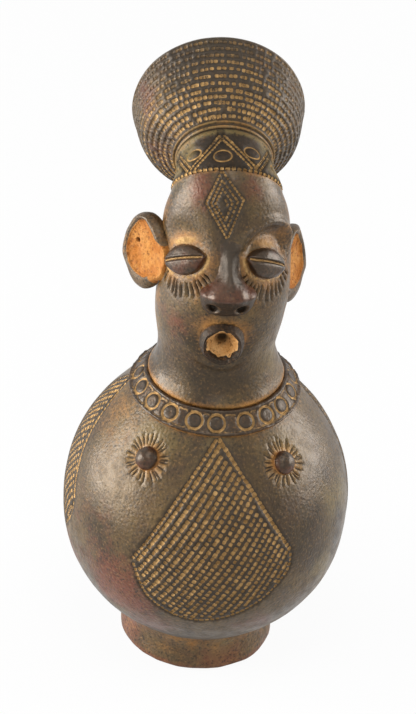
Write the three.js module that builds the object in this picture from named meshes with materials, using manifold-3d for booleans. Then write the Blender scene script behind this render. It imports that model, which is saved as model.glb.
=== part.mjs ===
// A hollow clay jar in the form of a figure. A ring foot carries a globe, a necklace strip hides the joint
// with the neck, and the hollow head sweeps back through a hair band into an open flared crown, which is the
// jar's mouth. The face pieces, ears and breasts are pads luted onto the finished shells.
// Millimetres, +Z up, the face looks along -Y and the foot stands on Z = 0.

import * as THREE from 'three';
import { mergeVertices } from 'three/addons/utils/BufferGeometryUtils.js';
import Module from 'manifold-3d';

const wasm = await Module();
wasm.setup();
const { Manifold, Mesh } = wasm;

// Shared by every piece
const seam = 0.3; // slip joint between luted pieces
const around = 36; // facets round the hollow forms
const padFacets = 20; // facets round the small pads
const globeSteps = [15, 6]; // steps up the globe and over its shoulder

// Foot
const footRadius = 37.8;
const footWaist = 36.2;
const footBore = 29.5;
const footBevel = 1.2;

// Globe
const globeRadius = 70;
const globeCentreZ = 83;
const globeDrop = 71; // widest line to the underside
const globeFullness = 2.2; // 2 would make the lower half an ellipse
const globeRise = 73; // widest line to the neck joint
const globeWall = 6.5;
const neckRadius = 30.9; // outside of the globe's opening
const shoulderStart = 0.616; // share of the rise where the shoulder leaves the ellipse
const shoulderPull = 16; // length of the shoulder's tangent

// Necklace
const necklaceStart = 0.67; // share of the shoulder's curve
const necklaceThick = 2.3;
const necklaceRidge = 0.8;

// Head, hair band and crown: stations from the neck joint to the rim of the flare. Each has the sideways,
// backward and upward place of its centre, its backward lean in degrees, and its reach to the side, front
// and back.
const headWall = 6;
const crownWall = 4.6;
const stations = [
  { at: 'joint', x: 0, y: 0, rise: seam, lean: 0, side: neckRadius, front: neckRadius, back: neckRadius },
  { at: 'root', x: 0, y: 0, rise: 2.4, lean: 0, side: 32.7, front: 32.7, back: 32.7 },
  { at: 'spring', x: 0, y: 0, rise: 9, lean: 0, side: 29.8, front: 29.8, back: 30.2 },
  { at: 'neck', x: -1, y: 0, rise: 20.4, lean: 0, side: 28, front: 28, back: 29.4 },
  { at: 'jaw', x: -0.8, y: 0, rise: 38, lean: 4, side: 30.9, front: 30.8, back: 32 },
  { at: 'cheek', x: 0, y: 0.7, rise: 55, lean: 14, side: 31.6, front: 32.2, back: 33.4 },
  { at: 'brow', x: -0.8, y: 5.6, rise: 85.5, lean: 40, side: 29.8, front: 29.4, back: 31.4 },
  { at: 'hairline', x: -1.6, y: 9.1, rise: 98.8, lean: 56, side: 27.3, front: 25.2, back: 23.8 },
  { at: 'flare root', x: -2.8, y: 21, rise: 107.2, lean: 74, side: 22, front: 22.4, back: 21.7 },
  { at: 'flare', x: -4.2, y: 35.5, rise: 111.6, lean: 80, side: 36.6, front: 34, back: 36.8 },
  { at: 'rim', x: -4.9, y: 53.9, rise: 115.6, lean: 84, side: 41.3, front: 42, back: 41.3 },
];
const stationIndex = (name) => stations.findIndex((station) => station.at === name);

// Eyes, each a pad in a soft hollow: place between the cheek and brow stations, turn from the front
const eyeShare = 0.41;
const eyeTurn = 41;
const eyeDroop = 13; // outer end lower than the inner one
const eyeLength = 23.5;
const eyeHeight = 14;
const eyeBulge = 4.6;
const slitWidth = 1.7;
const slitDepth = 2;
const hollowDepth = 2.8;
const hollowTurn = 22; // degrees
const hollowShare = 0.4;
const hollowLift = 0.1; // the hollow reaches further above the eye than below it

// Nose: sections by height above the neck joint, half width and forward reach of the ridge
const noseSections = [
  { rise: 55, half: 6, ridge: 32 },
  { rise: 60.5, half: 12, ridge: 38 },
  { rise: 66, half: 12.8, ridge: 41.2 },
  { rise: 71, half: 9.4, ridge: 40.6 },
  { rise: 75.5, half: 5.2, ridge: 37.4 },
  { rise: 81, half: 3.3, ridge: 32.6 },
  { rise: 88, half: 2.7, ridge: 27 },
  { rise: 95, half: 2, ridge: 22 },
];
const noseRoot = 12; // depth of the sections behind the head's middle plane
const nostrilRadius = 2;
const nostrilSpread = 6.4;
const nostrilRise = 58;
const nostrilDepth = 3;

// Mouth
const mouthRise = 37.8;
const lipRadius = 10;
const lipHeight = 3.4;
const lipRound = 1.6;
const plugRadius = 8.6;
const plugDepth = 5.5;
const dishRadius = 7.5;
const dishFloor = 2; // radius where the dish meets its pit
const dishDepth = 6;
const pitDepth = 7.4;

// Ears
const earHeight = 39;
const earWidth = 28;
const earDish = 3; // depth below the rim
const earRim = 4; // width of the rim
const earRoot = 26; // stem length before it is cut by the head
const earTip = 12; // tipped up
const earBackset = 3;
const earRight = { out: 40.2, rise: 66.2, turn: 35 }; // turn is forward from facing sideways
const earLeft = { out: 33.8, rise: 61.8, turn: 24 };
const pinRadius = 0.9;
const pinUp = 1.5;
const pinOut = 6.5;

// Breasts
const breastRadius = 5.6;
const breastHeight = 4.8;
const breastTurn = 39.2;
const breastRise = 0.71; // share of the globe's rise

// Sizes worked out from those above
const neckZ = globeCentreZ + globeRise;
const radians = THREE.MathUtils.degToRad;

// Turns a geometry into a solid that faces outwards, without the empty triangles a lathe leaves on its axis
function solidOf(geometry) {
  const bare = new THREE.BufferGeometry();
  bare.setAttribute('position', geometry.getAttribute('position'));
  bare.setIndex(geometry.getIndex());
  const merged = mergeVertices(bare, 1e-3);
  const index = merged.getIndex().array;
  const corners = [];
  for (let i = 0; i < index.length; i += 3) {
    const [a, b, c] = [index[i], index[i + 1], index[i + 2]];
    if (a !== b && b !== c && c !== a) corners.push(a, b, c);
  }
  const build = (triangles) => new Manifold(new Mesh({
    numProp: 3,
    vertProperties: Float32Array.from(merged.getAttribute('position').array),
    triVerts: Uint32Array.from(triangles),
  }));
  const solid = build(corners);
  return solid.volume() > 0 ? solid : build(corners.reverse());
}

function geometryOf(solid) {
  const { vertProperties, triVerts } = solid.getMesh();
  const geometry = new THREE.BufferGeometry();
  geometry.setAttribute('position', new THREE.BufferAttribute(Float32Array.from(vertProperties), 3));
  geometry.setIndex(new THREE.BufferAttribute(Uint32Array.from(triVerts), 1));
  geometry.computeVertexNormals();
  return geometry;
}

// Revolves a profile of [radius, height] points about Z
function turned(profile, facets = around) {
  const points = profile.map(([radius, height]) => new THREE.Vector2(radius, height));
  return new THREE.LatheGeometry(points, facets).rotateX(Math.PI / 2);
}

const turnedSolid = (profile, facets) => solidOf(turned(profile, facets));

// Globe's outer profile from the underside to the opening, as points with outward normals
function globeProfile(ellipseSteps, shoulderSteps) {
  const profile = [];
  const top = Math.asin(shoulderStart);
  for (let i = 0; i <= ellipseSteps; i++) {
    const turn = -Math.PI / 2 + (i / ellipseSteps) * (top + Math.PI / 2);
    const half = turn < 0 ? globeDrop : globeRise;
    const power = turn < 0 ? 2 / globeFullness : 1;
    const across = Math.max(Math.cos(turn), 0);
    const upward = Math.abs(Math.sin(turn));
    const sign = Math.sign(turn);
    const point = new THREE.Vector2(globeRadius * across ** power, globeCentreZ + sign * half * upward ** power);
    const normal = new THREE.Vector2(half * across ** (2 - power), sign * globeRadius * upward ** (2 - power));
    profile.push({ point, normal: normal.normalize() });
  }
  const shoulder = shoulderCurve();
  for (let i = 1; i <= shoulderSteps; i++) profile.push(shoulderAt(shoulder, i / shoulderSteps));
  return profile;
}

function shoulderCurve() {
  const top = Math.asin(shoulderStart);
  const start = new THREE.Vector2(globeRadius * Math.cos(top), globeCentreZ + globeRise * shoulderStart);
  const tangent = new THREE.Vector2(-globeRadius * Math.sin(top), globeRise * Math.cos(top)).normalize();
  const bend = start.clone().addScaledVector(tangent, shoulderPull);
  return new THREE.QuadraticBezierCurve(start, bend, new THREE.Vector2(neckRadius, neckZ));
}

function shoulderAt(curve, share) {
  const tangent = curve.getTangent(share);
  return { point: curve.getPoint(share), normal: new THREE.Vector2(tangent.y, -tangent.x) };
}

const offsetPoint = ({ point, normal }, distance) => [
  Math.max(point.x + normal.x * distance, 0),
  point.y + normal.y * distance,
];

// Globe filled solid and grown by a clearance, to cut what sits on it
function globeFilled(grow) {
  const skin = globeProfile(...globeSteps).map((place) => offsetPoint(place, grow));
  skin[0][0] = 0;
  return turnedSolid([...skin, [0, skin.at(-1)[1]]]);
}

function makeGlobe() {
  const outside = globeProfile(...globeSteps).map((place) => offsetPoint(place, 0));
  outside[0][0] = 0;
  const bore = neckRadius - globeWall;
  const inside = globeProfile(11, 4)
    .map((place) => offsetPoint(place, -globeWall))
    .filter(([radius, height]) => height < globeCentreZ || radius > bore + seam);
  inside[0][0] = 0;
  return turnedSolid([...outside, [bore, neckZ], [bore, inside.at(-1)[1] + globeWall / 3], ...inside.reverse()]);
}

function makeFoot() {
  const body = turnedSolid([
    [footBore, 0],
    [footRadius - footBevel, 0],
    [footRadius, footBevel],
    [(footRadius + footWaist) / 2, 6],
    [footWaist, 13],
    [footWaist + 0.8, 18],
    [footWaist + 3.2, 22],
    [footWaist + 8, 27],
    [footWaist + 8, 40],
    [footBore, 40],
    [footBore, 0],
  ]);
  return largestPiece(body.subtract(globeFilled(seam)));
}

const largestPiece = (solid) => solid.decompose().sort((a, b) => b.volume() - a.volume())[0];

// Strip with a rounded ridge along each edge; its top ends against the root of the neck
function makeNecklace(face) {
  const curve = shoulderCurve();
  const place = (share) => shoulderAt(curve, necklaceStart + share * (1 - necklaceStart));
  const crest = necklaceThick + necklaceRidge;
  const over = [
    [0, necklaceThick / 2], [0.05, crest], [0.16, crest], [0.23, necklaceThick],
    [0.77, necklaceThick], [0.84, crest], [0.95, crest], [1, necklaceThick / 2],
  ].map(([share, height]) => offsetPoint(place(share), seam + height));
  const under = [1, 0.67, 0.33, 0].map((share) => offsetPoint(place(share), seam));
  return largestPiece(turnedSolid([...over, ...under, over[0]]).subtract(face));
}

// Smooth run of the head's stations
const stationFields = ['x', 'y', 'rise', 'lean', 'side', 'front', 'back'];
const stationRun = new THREE.CubicInterpolant(
  stations.map((_, i) => i),
  Float64Array.from(stations.flatMap((station) => stationFields.map((field) => station[field]))),
  stationFields.length,
);

const eyeStation = stationIndex('cheek') + eyeShare;

// Depth of the eye hollows at a place on the head
function hollowAt(run, turn) {
  const up = (run - eyeStation - hollowLift) / hollowShare;
  const depth = (side) => {
    const across = (THREE.MathUtils.radToDeg(turn) - side * eyeTurn) / hollowTurn;
    return hollowDepth * Math.exp(-across * across - up * up);
  };
  return depth(1) + depth(-1);
}

// A point of the head's or crown's skin: run counts stations, turn is zero at the front
function skinPoint(run, turn, inset = 0, shift = 0) {
  const [x, y, rise, lean, side, front, back] = stationRun.evaluate(run);
  const tilt = radians(lean);
  const face = inset > 0 ? 0 : hollowAt(run, turn);
  const depth = Math.cos(turn) * ((Math.cos(turn) > 0 ? front : back) - inset - face);
  return new THREE.Vector3(
    x + Math.sin(turn) * (side - inset - face),
    y - depth * Math.cos(tilt) + shift * Math.sin(tilt),
    neckZ + rise + depth * Math.sin(tilt) + shift * Math.cos(tilt),
  );
}

function skinRing(run, inset, shift) {
  const ring = [];
  for (let i = 0; i < around; i++) {
    const turn = (i / around) * 2 * Math.PI;
    ring.push(skinPoint(run, turn > Math.PI ? turn - 2 * Math.PI : turn, inset, shift));
  }
  return ring;
}

// Joins rings of equal count; a loop of rings closes on itself, otherwise both ends are capped
function loft(rings, looped) {
  const count = rings[0].length;
  const points = rings.flat();
  const corners = [];
  const spans = looped ? rings.length : rings.length - 1;
  for (let r = 0; r < spans; r++) {
    const low = r * count;
    const high = ((r + 1) % rings.length) * count;
    for (let i = 0; i < count; i++) {
      const j = (i + 1) % count;
      corners.push(low + i, low + j, high + j, low + i, high + j, high + i);
    }
  }
  if (!looped) {
    const last = (rings.length - 1) * count;
    for (let i = 1; i < count - 1; i++) {
      corners.push(0, i + 1, i);
      corners.push(last, last + i, last + i + 1);
    }
  }
  const geometry = new THREE.BufferGeometry().setFromPoints(points);
  geometry.setIndex(corners);
  return solidOf(geometry);
}

// Hollow length of the head or crown between two stations
function shell(from, to, outerSteps, innerSteps, wallFrom, wallTo, startShift) {
  const rings = [];
  const spread = (steps, wallStart, wallEnd, build) => {
    for (let i = 0; i <= steps; i++) {
      const share = i / steps;
      const shift = i === 0 ? startShift : 0;
      build(skinRing(from + share * (to - from), wallStart + share * (wallEnd - wallStart), shift));
    }
  };
  spread(outerSteps, 0, 0, (ring) => rings.push(ring));
  const inner = [];
  spread(innerSteps, wallFrom, wallTo, (ring) => inner.unshift(ring));
  return loft([...rings, ...inner], true);
}

// Head filled solid and grown by a clearance, to cut the pads that sit on it
function headFilled(grow) {
  const rings = [];
  const end = stationIndex('hairline');
  const steps = 21;
  for (let i = 0; i <= steps; i++) rings.push(skinRing((i / steps) * end, -grow, 0));
  return loft(rings, false);
}

// Local frame on the head's skin: X along the turn, Y up the face, Z out of the clay
function skinFrame(run, turn) {
  const step = 0.02;
  const origin = skinPoint(run, turn);
  const across = skinPoint(run, turn + step).sub(skinPoint(run, turn - step)).normalize();
  const upward = skinPoint(run + step, turn).sub(skinPoint(run - step, turn)).normalize();
  const outward = new THREE.Vector3().crossVectors(across, upward).normalize();
  upward.crossVectors(outward, across);
  return new THREE.Matrix4().makeBasis(across, upward, outward).setPosition(origin);
}

const placed = (geometry, matrix) => solidOf(geometry.applyMatrix4(matrix));

function ellipsoid(length, height, depth) {
  return new THREE.SphereGeometry(1, padFacets, padFacets / 2).scale(length, height, depth);
}

function makeHead(mouth) {
  const body = shell(0, stationIndex('hairline'), 21, 10, headWall, headWall, 0);
  return body.subtract(placed(
    new THREE.CylinderGeometry(plugRadius + seam, plugRadius + seam, 4 * headWall, padFacets).rotateX(Math.PI / 2),
    mouth,
  ));
}

function makeHairBand() {
  return shell(stationIndex('hairline'), stationIndex('flare root'), 5, 4, headWall, crownWall, seam);
}

function makeCrown() {
  return shell(stationIndex('flare root'), stationIndex('rim'), 10, 8, crownWall, crownWall - 1, seam);
}

function makeEye(side, face) {
  const frame = skinFrame(eyeStation, side * radians(eyeTurn));
  frame.multiply(new THREE.Matrix4().makeRotationZ(-side * radians(eyeDroop)));
  const bean = placed(ellipsoid(eyeLength / 2, eyeHeight / 2, eyeBulge), frame);
  const cut = new THREE.Matrix4().makeTranslation(0, 0, eyeBulge);
  const slit = placed(ellipsoid(eyeLength / 2, slitWidth / 2, slitDepth), frame.clone().multiply(cut));
  return largestPiece(bean.subtract(face).subtract(slit));
}

function makeNose(face) {
  const fields = ['rise', 'half', 'ridge'];
  const run = new THREE.CubicInterpolant(
    noseSections.map((_, i) => i),
    Float64Array.from(noseSections.flatMap((section) => fields.map((field) => section[field]))),
    fields.length,
  );
  const rings = [];
  const steps = 14;
  for (let i = 0; i <= steps; i++) {
    const [rise, half, ridge] = run.evaluate((i / steps) * (noseSections.length - 1));
    const ring = [];
    for (let k = 0; k < padFacets; k++) {
      const turn = (k / padFacets) * 2 * Math.PI;
      const middle = (ridge - noseRoot) / 2;
      const reach = Math.cos(turn) * middle;
      ring.push(new THREE.Vector3(half * Math.sin(turn), -(noseRoot + middle) - reach, neckZ + rise));
    }
    rings.push(ring);
  }
  let nose = loft(rings, false).subtract(face);
  for (const side of [-1, 1]) {
    const hole = new THREE.ConeGeometry(nostrilRadius, 2 * nostrilDepth, 12).rotateX(-Math.PI / 4);
    const section = run.evaluate((nostrilRise - noseSections[0].rise) / (noseSections[1].rise - noseSections[0].rise));
    const spot = new THREE.Matrix4().makeTranslation(side * nostrilSpread, -section[2] + 1, neckZ + nostrilRise - 1);
    nose = nose.subtract(placed(hole, spot));
  }
  return largestPiece(nose);
}

// The mouth's frame: on the face's middle line, Z straight out of the clay
function mouthFrame() {
  const jaw = stationIndex('jaw');
  const share = (mouthRise - stations[jaw].rise) / (stations[jaw + 1].rise - stations[jaw].rise);
  return skinFrame(jaw + share, 0);
}

function makeMouth(frame, face) {
  const lip = placed(turned([
    [0, -2 * lipHeight],
    [lipRadius, -2 * lipHeight],
    [lipRadius, lipHeight - lipRound],
    [lipRadius - lipRound * 0.3, lipHeight - lipRound * 0.3],
    [lipRadius - lipRound, lipHeight],
    [0, lipHeight],
  ], padFacets + 8), frame);
  const plug = placed(turned([[0, -plugDepth], [plugRadius, -plugDepth], [plugRadius, 1], [0, 1]], padFacets + 8), frame);
  const dish = placed(turned([
    [0, lipHeight - pitDepth],
    [dishFloor * 0.8, lipHeight - pitDepth],
    [dishFloor, lipHeight - dishDepth],
    [dishRadius, lipHeight - lipRound / 2],
    [dishRadius + lipRound / 2, lipHeight + 1],
    [0, lipHeight + 1],
  ], padFacets + 8), frame);
  return largestPiece(lip.subtract(face).add(plug).subtract(dish));
}

function earFrame(side, ear) {
  const turn = radians(ear.turn);
  const tip = radians(earTip);
  const outward = new THREE.Vector3(
    side * Math.cos(turn) * Math.cos(tip),
    -Math.sin(turn) * Math.cos(tip),
    Math.sin(tip),
  );
  const across = new THREE.Vector3(Math.sin(turn), side * Math.cos(turn), 0);
  const upward = new THREE.Vector3().crossVectors(outward, across);
  const centre = new THREE.Vector3(side * ear.out, earBackset, neckZ + ear.rise);
  return new THREE.Matrix4().makeBasis(across, upward, outward).setPosition(centre);
}

function makeEar(side, spot, pierced, face) {
  const half = earHeight / 2;
  const rim = earRim / 2;
  const profile = [
    [0, -earDish],
    [half * 0.42, -earDish * 0.9],
    [half - earRim - 1, -earDish * 0.45],
    [half - earRim, -0.9],
    [half - rim, 0],
    [half - rim * 0.4, -0.5],
    [half, -rim],
    [half - 0.6, -rim - 3],
    [half * 0.82, -earDish - 4],
    [half * 0.6, -earDish - 7],
    [half * 0.5, -earRoot],
    [0, -earRoot],
  ];
  const frame = earFrame(side, spot);
  const stretch = new THREE.Matrix4().makeScale(earWidth / earHeight, 1, 1);
  let ear = placed(turned(profile, padFacets), frame.clone().multiply(stretch)).subtract(face);
  if (pierced) {
    const pin = new THREE.CylinderGeometry(pinRadius, pinRadius, 2.4 * earDish, 10).rotateX(Math.PI / 2);
    const hole = new THREE.Matrix4().makeTranslation(-pinOut, pinUp, -earDish);
    ear = ear.subtract(placed(pin, frame.clone().multiply(hole)));
  }
  return largestPiece(ear);
}

function makeBreast(side) {
  const turn = radians(breastTurn);
  const curve = shoulderCurve();
  const place = shoulderAt(curve, (breastRise - shoulderStart) / (1 - shoulderStart) * 0.72);
  const flat = new THREE.Vector3(side * Math.sin(turn), -Math.cos(turn), 0);
  const outward = flat.clone().multiplyScalar(place.normal.x).setZ(place.normal.y);
  const across = new THREE.Vector3(Math.cos(turn), side * Math.sin(turn), 0);
  const upward = new THREE.Vector3().crossVectors(outward, across);
  const frame = new THREE.Matrix4().makeBasis(across, upward, outward);
  frame.setPosition(flat.multiplyScalar(place.point.x).setZ(place.point.y));
  const dome = placed(ellipsoid(breastRadius, breastRadius, breastHeight), frame);
  return largestPiece(dome.subtract(globeFilled(seam)));
}

// Colours of the fired clay and its pads
const burnished = { colour: 0x4b3c31, roughness: 0.5 };
const rubbed = { colour: 0x5a4436, roughness: 0.55 };
const padded = { colour: 0x3d3029, roughness: 0.45 };

const jar = new THREE.Group();
jar.name = 'anthropomorphic_jar';

function addPiece(name, solid, { colour, roughness }) {
  const material = new THREE.MeshStandardMaterial({ color: colour, roughness, metalness: 0 });
  const mesh = new THREE.Mesh(geometryOf(solid), material);
  mesh.name = name;
  jar.add(mesh);
}

const mouth = mouthFrame();
const face = headFilled(seam);

addPiece('foot_ring', makeFoot(), rubbed);
addPiece('body_globe', makeGlobe(), burnished);
addPiece('necklace_band', makeNecklace(face), padded);
addPiece('head', makeHead(mouth), burnished);
addPiece('hair_band', makeHairBand(), padded);
addPiece('crown_flare', makeCrown(), burnished);
addPiece('nose', makeNose(face), padded);
addPiece('eye_right', makeEye(-1, face), padded);
addPiece('eye_left', makeEye(1, face), padded);
addPiece('mouth_ring', makeMouth(mouth, face), padded);
addPiece('ear_right', makeEar(-1, earRight, true, face), rubbed);
addPiece('ear_left', makeEar(1, earLeft, false, face), rubbed);
addPiece('breast_right', makeBreast(-1), padded);
addPiece('breast_left', makeBreast(1), padded);

export default jar;
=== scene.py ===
import math
import bpy
import numpy as np
from mathutils import Matrix, Vector
from mathutils.geometry import delaunay_2d_cdt


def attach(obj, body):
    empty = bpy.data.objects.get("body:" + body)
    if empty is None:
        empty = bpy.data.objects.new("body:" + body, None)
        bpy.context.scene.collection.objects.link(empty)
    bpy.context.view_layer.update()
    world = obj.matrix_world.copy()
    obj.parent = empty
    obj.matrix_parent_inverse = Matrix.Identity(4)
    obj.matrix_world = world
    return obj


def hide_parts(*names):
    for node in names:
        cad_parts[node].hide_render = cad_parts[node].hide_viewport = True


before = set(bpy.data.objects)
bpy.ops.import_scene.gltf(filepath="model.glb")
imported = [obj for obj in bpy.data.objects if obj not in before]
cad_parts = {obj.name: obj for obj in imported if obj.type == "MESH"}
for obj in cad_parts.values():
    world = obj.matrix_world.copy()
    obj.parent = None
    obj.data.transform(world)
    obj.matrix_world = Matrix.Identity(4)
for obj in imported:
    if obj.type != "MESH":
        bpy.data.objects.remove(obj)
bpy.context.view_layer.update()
print("frame loaded with", len(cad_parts), "nodes")

# Lengths are in millimetres until a mesh is made. A turn of 0 faces the front, -Y, and grows towards +X.
pi = math.pi
neckZ = 156.0
rad = math.radians
sideNames = {-1: "Right", 1: "Left"}  # the jar's own right is at -X
fieldNames = ("red", "olive", "dust", "film", "shade", "pale", "inside")
noField = np.zeros(0)


def ease(low, high, value):
    share = np.clip((np.asarray(value, float) - low) / (high - low), 0, 1)
    return share * share * (3 - 2 * share)


def hump(value, middle, width):
    return np.exp(-((np.asarray(value, float) - middle) / width) ** 2)


def wrapped(turn):
    return (turn + pi) % (2 * pi) - pi


# Turns at even steps round a circle
def spokes(count, start=0.0, first=0.0):
    return (np.arange(count) + first) * 2 * pi / count + start


def around(turn, radius, height):
    return np.stack(np.broadcast_arrays(np.sin(turn) * radius, -np.cos(turn) * radius, height), axis=1)


def unit(rows):
    return rows / np.linalg.norm(rows, axis=1)[:, None]


def lengthAlong(line):
    return np.concatenate([[0], np.cumsum(np.linalg.norm(np.diff(line, axis=0), axis=1))])


# Smooth lattice noise from -1 to 1, the same on every run
def softNoise(points, size, seed):
    grid = np.asarray(points, float) / size
    cell = np.floor(grid).astype(np.int64)
    part = grid - cell
    part = part * part * (3 - 2 * part)
    total = np.zeros(len(grid))
    for corner in range(8):
        step = np.array([corner & 1, corner >> 1 & 1, corner >> 2 & 1])
        spot = cell + step
        key = spot[:, 0] * 374761393 + spot[:, 1] * 668265263 + spot[:, 2] * 1442695041 + seed * 974711
        key = key & 0xFFFFFFFF
        key = ((key ^ (key >> 13)) * 1274126177) & 0xFFFFFFFF
        key = (key ^ (key >> 16)) & 0xFFFF
        total += np.prod(np.where(step, part, 1 - part), axis=1) * (key / 32767.5 - 1)
    return total


# The hand-built skin is never quite even: slow swells, paddle marks and fine ripples
def uneven(points, seed, amount=1.0):
    return amount * (
        0.42 * softNoise(points, 34, seed) + 0.16 * softNoise(points, 13, seed + 1)
        + 0.045 * softNoise(points, 4.5, seed + 2)
    )


# Patches where firing and handling changed the clay: middle, reach and strength of each
patches = {
    "red": [
        ((-30, -58, 40), 18, 0.6), ((22, -50, 50), 16, 0.45), ((30, -20, 170), 9, 0.45),
        ((-58, -10, 60), 20, 0.5), ((-45, -54, 62), 24, 0.75), ((-56, -34, 96), 18, 0.35),
        ((-10, -60, 98), 22, 0.3), ((-23, -21, 199), 11, 0.6), ((-14, -9, 266), 9, 0.65),
        ((8, -12, 268), 9, 0.5), ((-40, 40, 284), 14, 0.5), ((-34, 24, 262), 14, 0.45),
        ((20, 40, 312), 16, 0.4), ((-36, -14, 8), 14, 0.8), ((12, -36, 2), 16, 0.6),
        ((20, 62, 70), 26, 0.5), ((48, 48, 110), 22, 0.4), ((-30, 60, 118), 20, 0.4),
    ],
    "olive": [
        ((64, -26, 104), 13, 0.6), ((53, -44, 72), 14, 0.6), ((34, -44, 140), 16, 0.5),
        ((-34, -40, 144), 22, 0.55), ((0, -42, 148), 16, 0.3), ((26, -12, 176), 14, 0.4),
        ((-27, 2, 190), 14, 0.5), ((-24, 6, 262), 12, 0.5), ((20, 6, 268), 12, 0.45),
        ((-52, 42, 112), 24, 0.5), ((10, -36, 14), 12, 0.45), ((-60, 16, 70), 22, 0.4),
        ((52, 40, 140), 22, 0.5), ((0, 36, 200), 20, 0.4),
    ],
}


def patchField(points, kind):
    field = np.zeros(len(points))
    for middle, reach, strength in patches[kind]:
        away = np.sum((points - np.array(middle, float)) ** 2, axis=1)
        field = np.maximum(field, strength * np.exp(-away / reach**2))
    return field


# A field of a piece that is nowhere weaker than the patches
def withPatches(points, kind, field):
    return np.maximum(patchField(points, kind), np.pad(field, (0, len(points) - len(field))))


# Makes a mesh from millimetre points and lists of triangles or quads, facing outwards. A field that is
# shorter than the list of points is 0 at the rest of them.
def addPiece(name, points, faces, fields, material, node):
    halves = [f[:, :3] for f in faces] + [f[:, [0, 2, 3]] for f in faces if f.shape[1] == 4]
    triangles = np.concatenate(halves)
    a, b, c = (points[triangles[:, corner]] for corner in range(3))
    if np.sum(a * np.cross(b, c)) < 0:
        faces = [f[:, ::-1] for f in faces]
    mesh = bpy.data.meshes.new(name)
    mesh.from_pydata((points * 0.001).tolist(), [], [row for f in faces for row in f.tolist()])
    mesh.polygons.foreach_set("use_smooth", np.ones(len(mesh.polygons), bool))
    fields = {"red": patchField(points, "red"), "olive": patchField(points, "olive"), **fields}
    for key in fieldNames:
        value = np.asarray(fields.get(key, noField), np.float32)
        layer = mesh.attributes.new(key, "FLOAT", "POINT")
        layer.data.foreach_set("value", np.pad(value, (0, len(points) - len(value))))
    mesh.materials.append(material)
    piece = bpy.data.objects.new(name, mesh)
    bpy.context.scene.collection.objects.link(piece)
    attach(piece, "root")
    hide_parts(node)
    print("made", name, "with", len(mesh.polygons), "faces")


def bandFaces(low, high):
    return np.stack([low, np.roll(low, -1), np.roll(high, -1), high], axis=1)


def fanFaces(ring, pole, poleBelow):
    after = np.roll(ring, -1)
    middle = np.full(len(ring), pole)
    return np.stack([middle, after, ring] if poleBelow else [ring, after, middle], axis=1)


# Smooth curve through profile points
def smoothLine(points, steps):
    points = np.array(points, float)
    padded = np.vstack([2 * points[0] - points[1], points, 2 * points[-1] - points[-2]])
    made = []
    for i in range(1, len(padded) - 2):
        p, q, r, s = padded[i - 1 : i + 3]
        for t in np.arange(steps) / steps:
            curve = 2 * q + (r - p) * t + (2 * p - 5 * q + 4 * r - s) * t * t
            made.append(0.5 * (curve + (3 * q - p - 3 * r + s) * t**3))
    return np.vstack([made, points[-1]])


# Turns a profile of radius and height about its axis; a radius of zero at an end becomes a pole
def turnedGrid(profile, columns):
    points, faces, previous, count = [], [], None, 0
    for radius, height in profile:
        pole = radius < 1e-6
        points.append(np.array([[0, 0, height]]) if pole else around(spokes(columns), radius, height))
        ring = count + np.arange(len(points[-1]))
        count += len(ring)
        if previous is not None:
            if len(previous) == 1:
                faces.append(fanFaces(ring, previous[0], True))
            elif len(ring) == 1:
                faces.append(fanFaces(previous, ring[0], False))
            else:
                faces.append(bandFaces(previous, ring))
        previous = ring
    return np.vstack(points), faces


# Marks pressed into a skin: places on its flat chart, with the depth and the ochre earth left in them
def newMarks():
    return {"x": [], "y": [], "depth": [], "dust": [], "shade": []}


def press(marks, chart, turn, along, a, b, depth, dust, shade=0.0):
    turn, along = np.atleast_1d(turn), np.atleast_1d(along)
    a, b = np.broadcast_arrays(np.atleast_2d(a), np.atleast_2d(b))
    shape = np.broadcast_shapes(a.shape, (len(turn), 1))
    x, y = chart(turn, along, np.broadcast_to(a, shape), np.broadcast_to(b, shape))
    marks["x"].append(x.ravel())
    marks["y"].append(y.ravel())
    marks["depth"].append(np.broadcast_to(depth, shape).ravel())
    marks["dust"].append(np.broadcast_to(dust, shape).ravel())
    marks["shade"].append(np.broadcast_to(shade, shape).ravel())


# Square pits with rounded corners, each a little different in size, slant and depth; less earth stays on
# their edges
pit = {
    "corners": 3.4, "floor": 0.84, "sizeSpread": 0.09, "slantSpread": 0.07, "depthSpread": 0.22,
    "earth": 0.93, "earthSpread": 0.07, "earthLimits": (0.72, 1.1), "edgeEarth": 0.32, "edgeShade": 0.95,
}


def pressSquares(marks, chart, turn, along, angle, halfAlong, halfAcross, depth, seed, earth=1.0):
    rng = np.random.default_rng(seed)
    count = len(turn)
    spoke = np.arange(8) * pi / 4
    edge = np.stack([np.cos(spoke), np.sin(spoke)], axis=1)
    edge /= (np.abs(edge) ** pit["corners"]).sum(axis=1)[:, None] ** (1 / pit["corners"])
    shape = np.vstack([edge, edge * pit["floor"], [[0, 0]]])
    wide = halfAlong * (1 + pit["sizeSpread"] * rng.standard_normal((count, 1)))
    high = halfAcross * (1 + pit["sizeSpread"] * rng.standard_normal((count, 1)))
    slant = np.asarray(angle) * np.ones(count) + pit["slantSpread"] * rng.standard_normal(count)
    u, v = shape[:, 0] * wide, shape[:, 1] * high
    cos, sin = np.cos(slant)[:, None], np.sin(slant)[:, None]
    deep = depth * (1 + pit["depthSpread"] * rng.standard_normal((count, 1)))
    full = pit["earth"] + pit["earthSpread"] * rng.standard_normal((count, 1))
    full = earth * np.clip(full, *pit["earthLimits"])
    depths = np.concatenate([np.zeros((count, 8)), np.repeat(deep, 9, 1)], axis=1)
    dusts = np.concatenate([np.repeat(full * pit["edgeEarth"], 8, 1), np.repeat(full, 9, 1)], axis=1)
    shades = np.concatenate([np.full((count, 8), pit["edgeShade"]), np.zeros((count, 9))], axis=1)
    press(marks, chart, turn, along, u * cos - v * sin, u * sin + v * cos, depths, dusts, shades)


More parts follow.
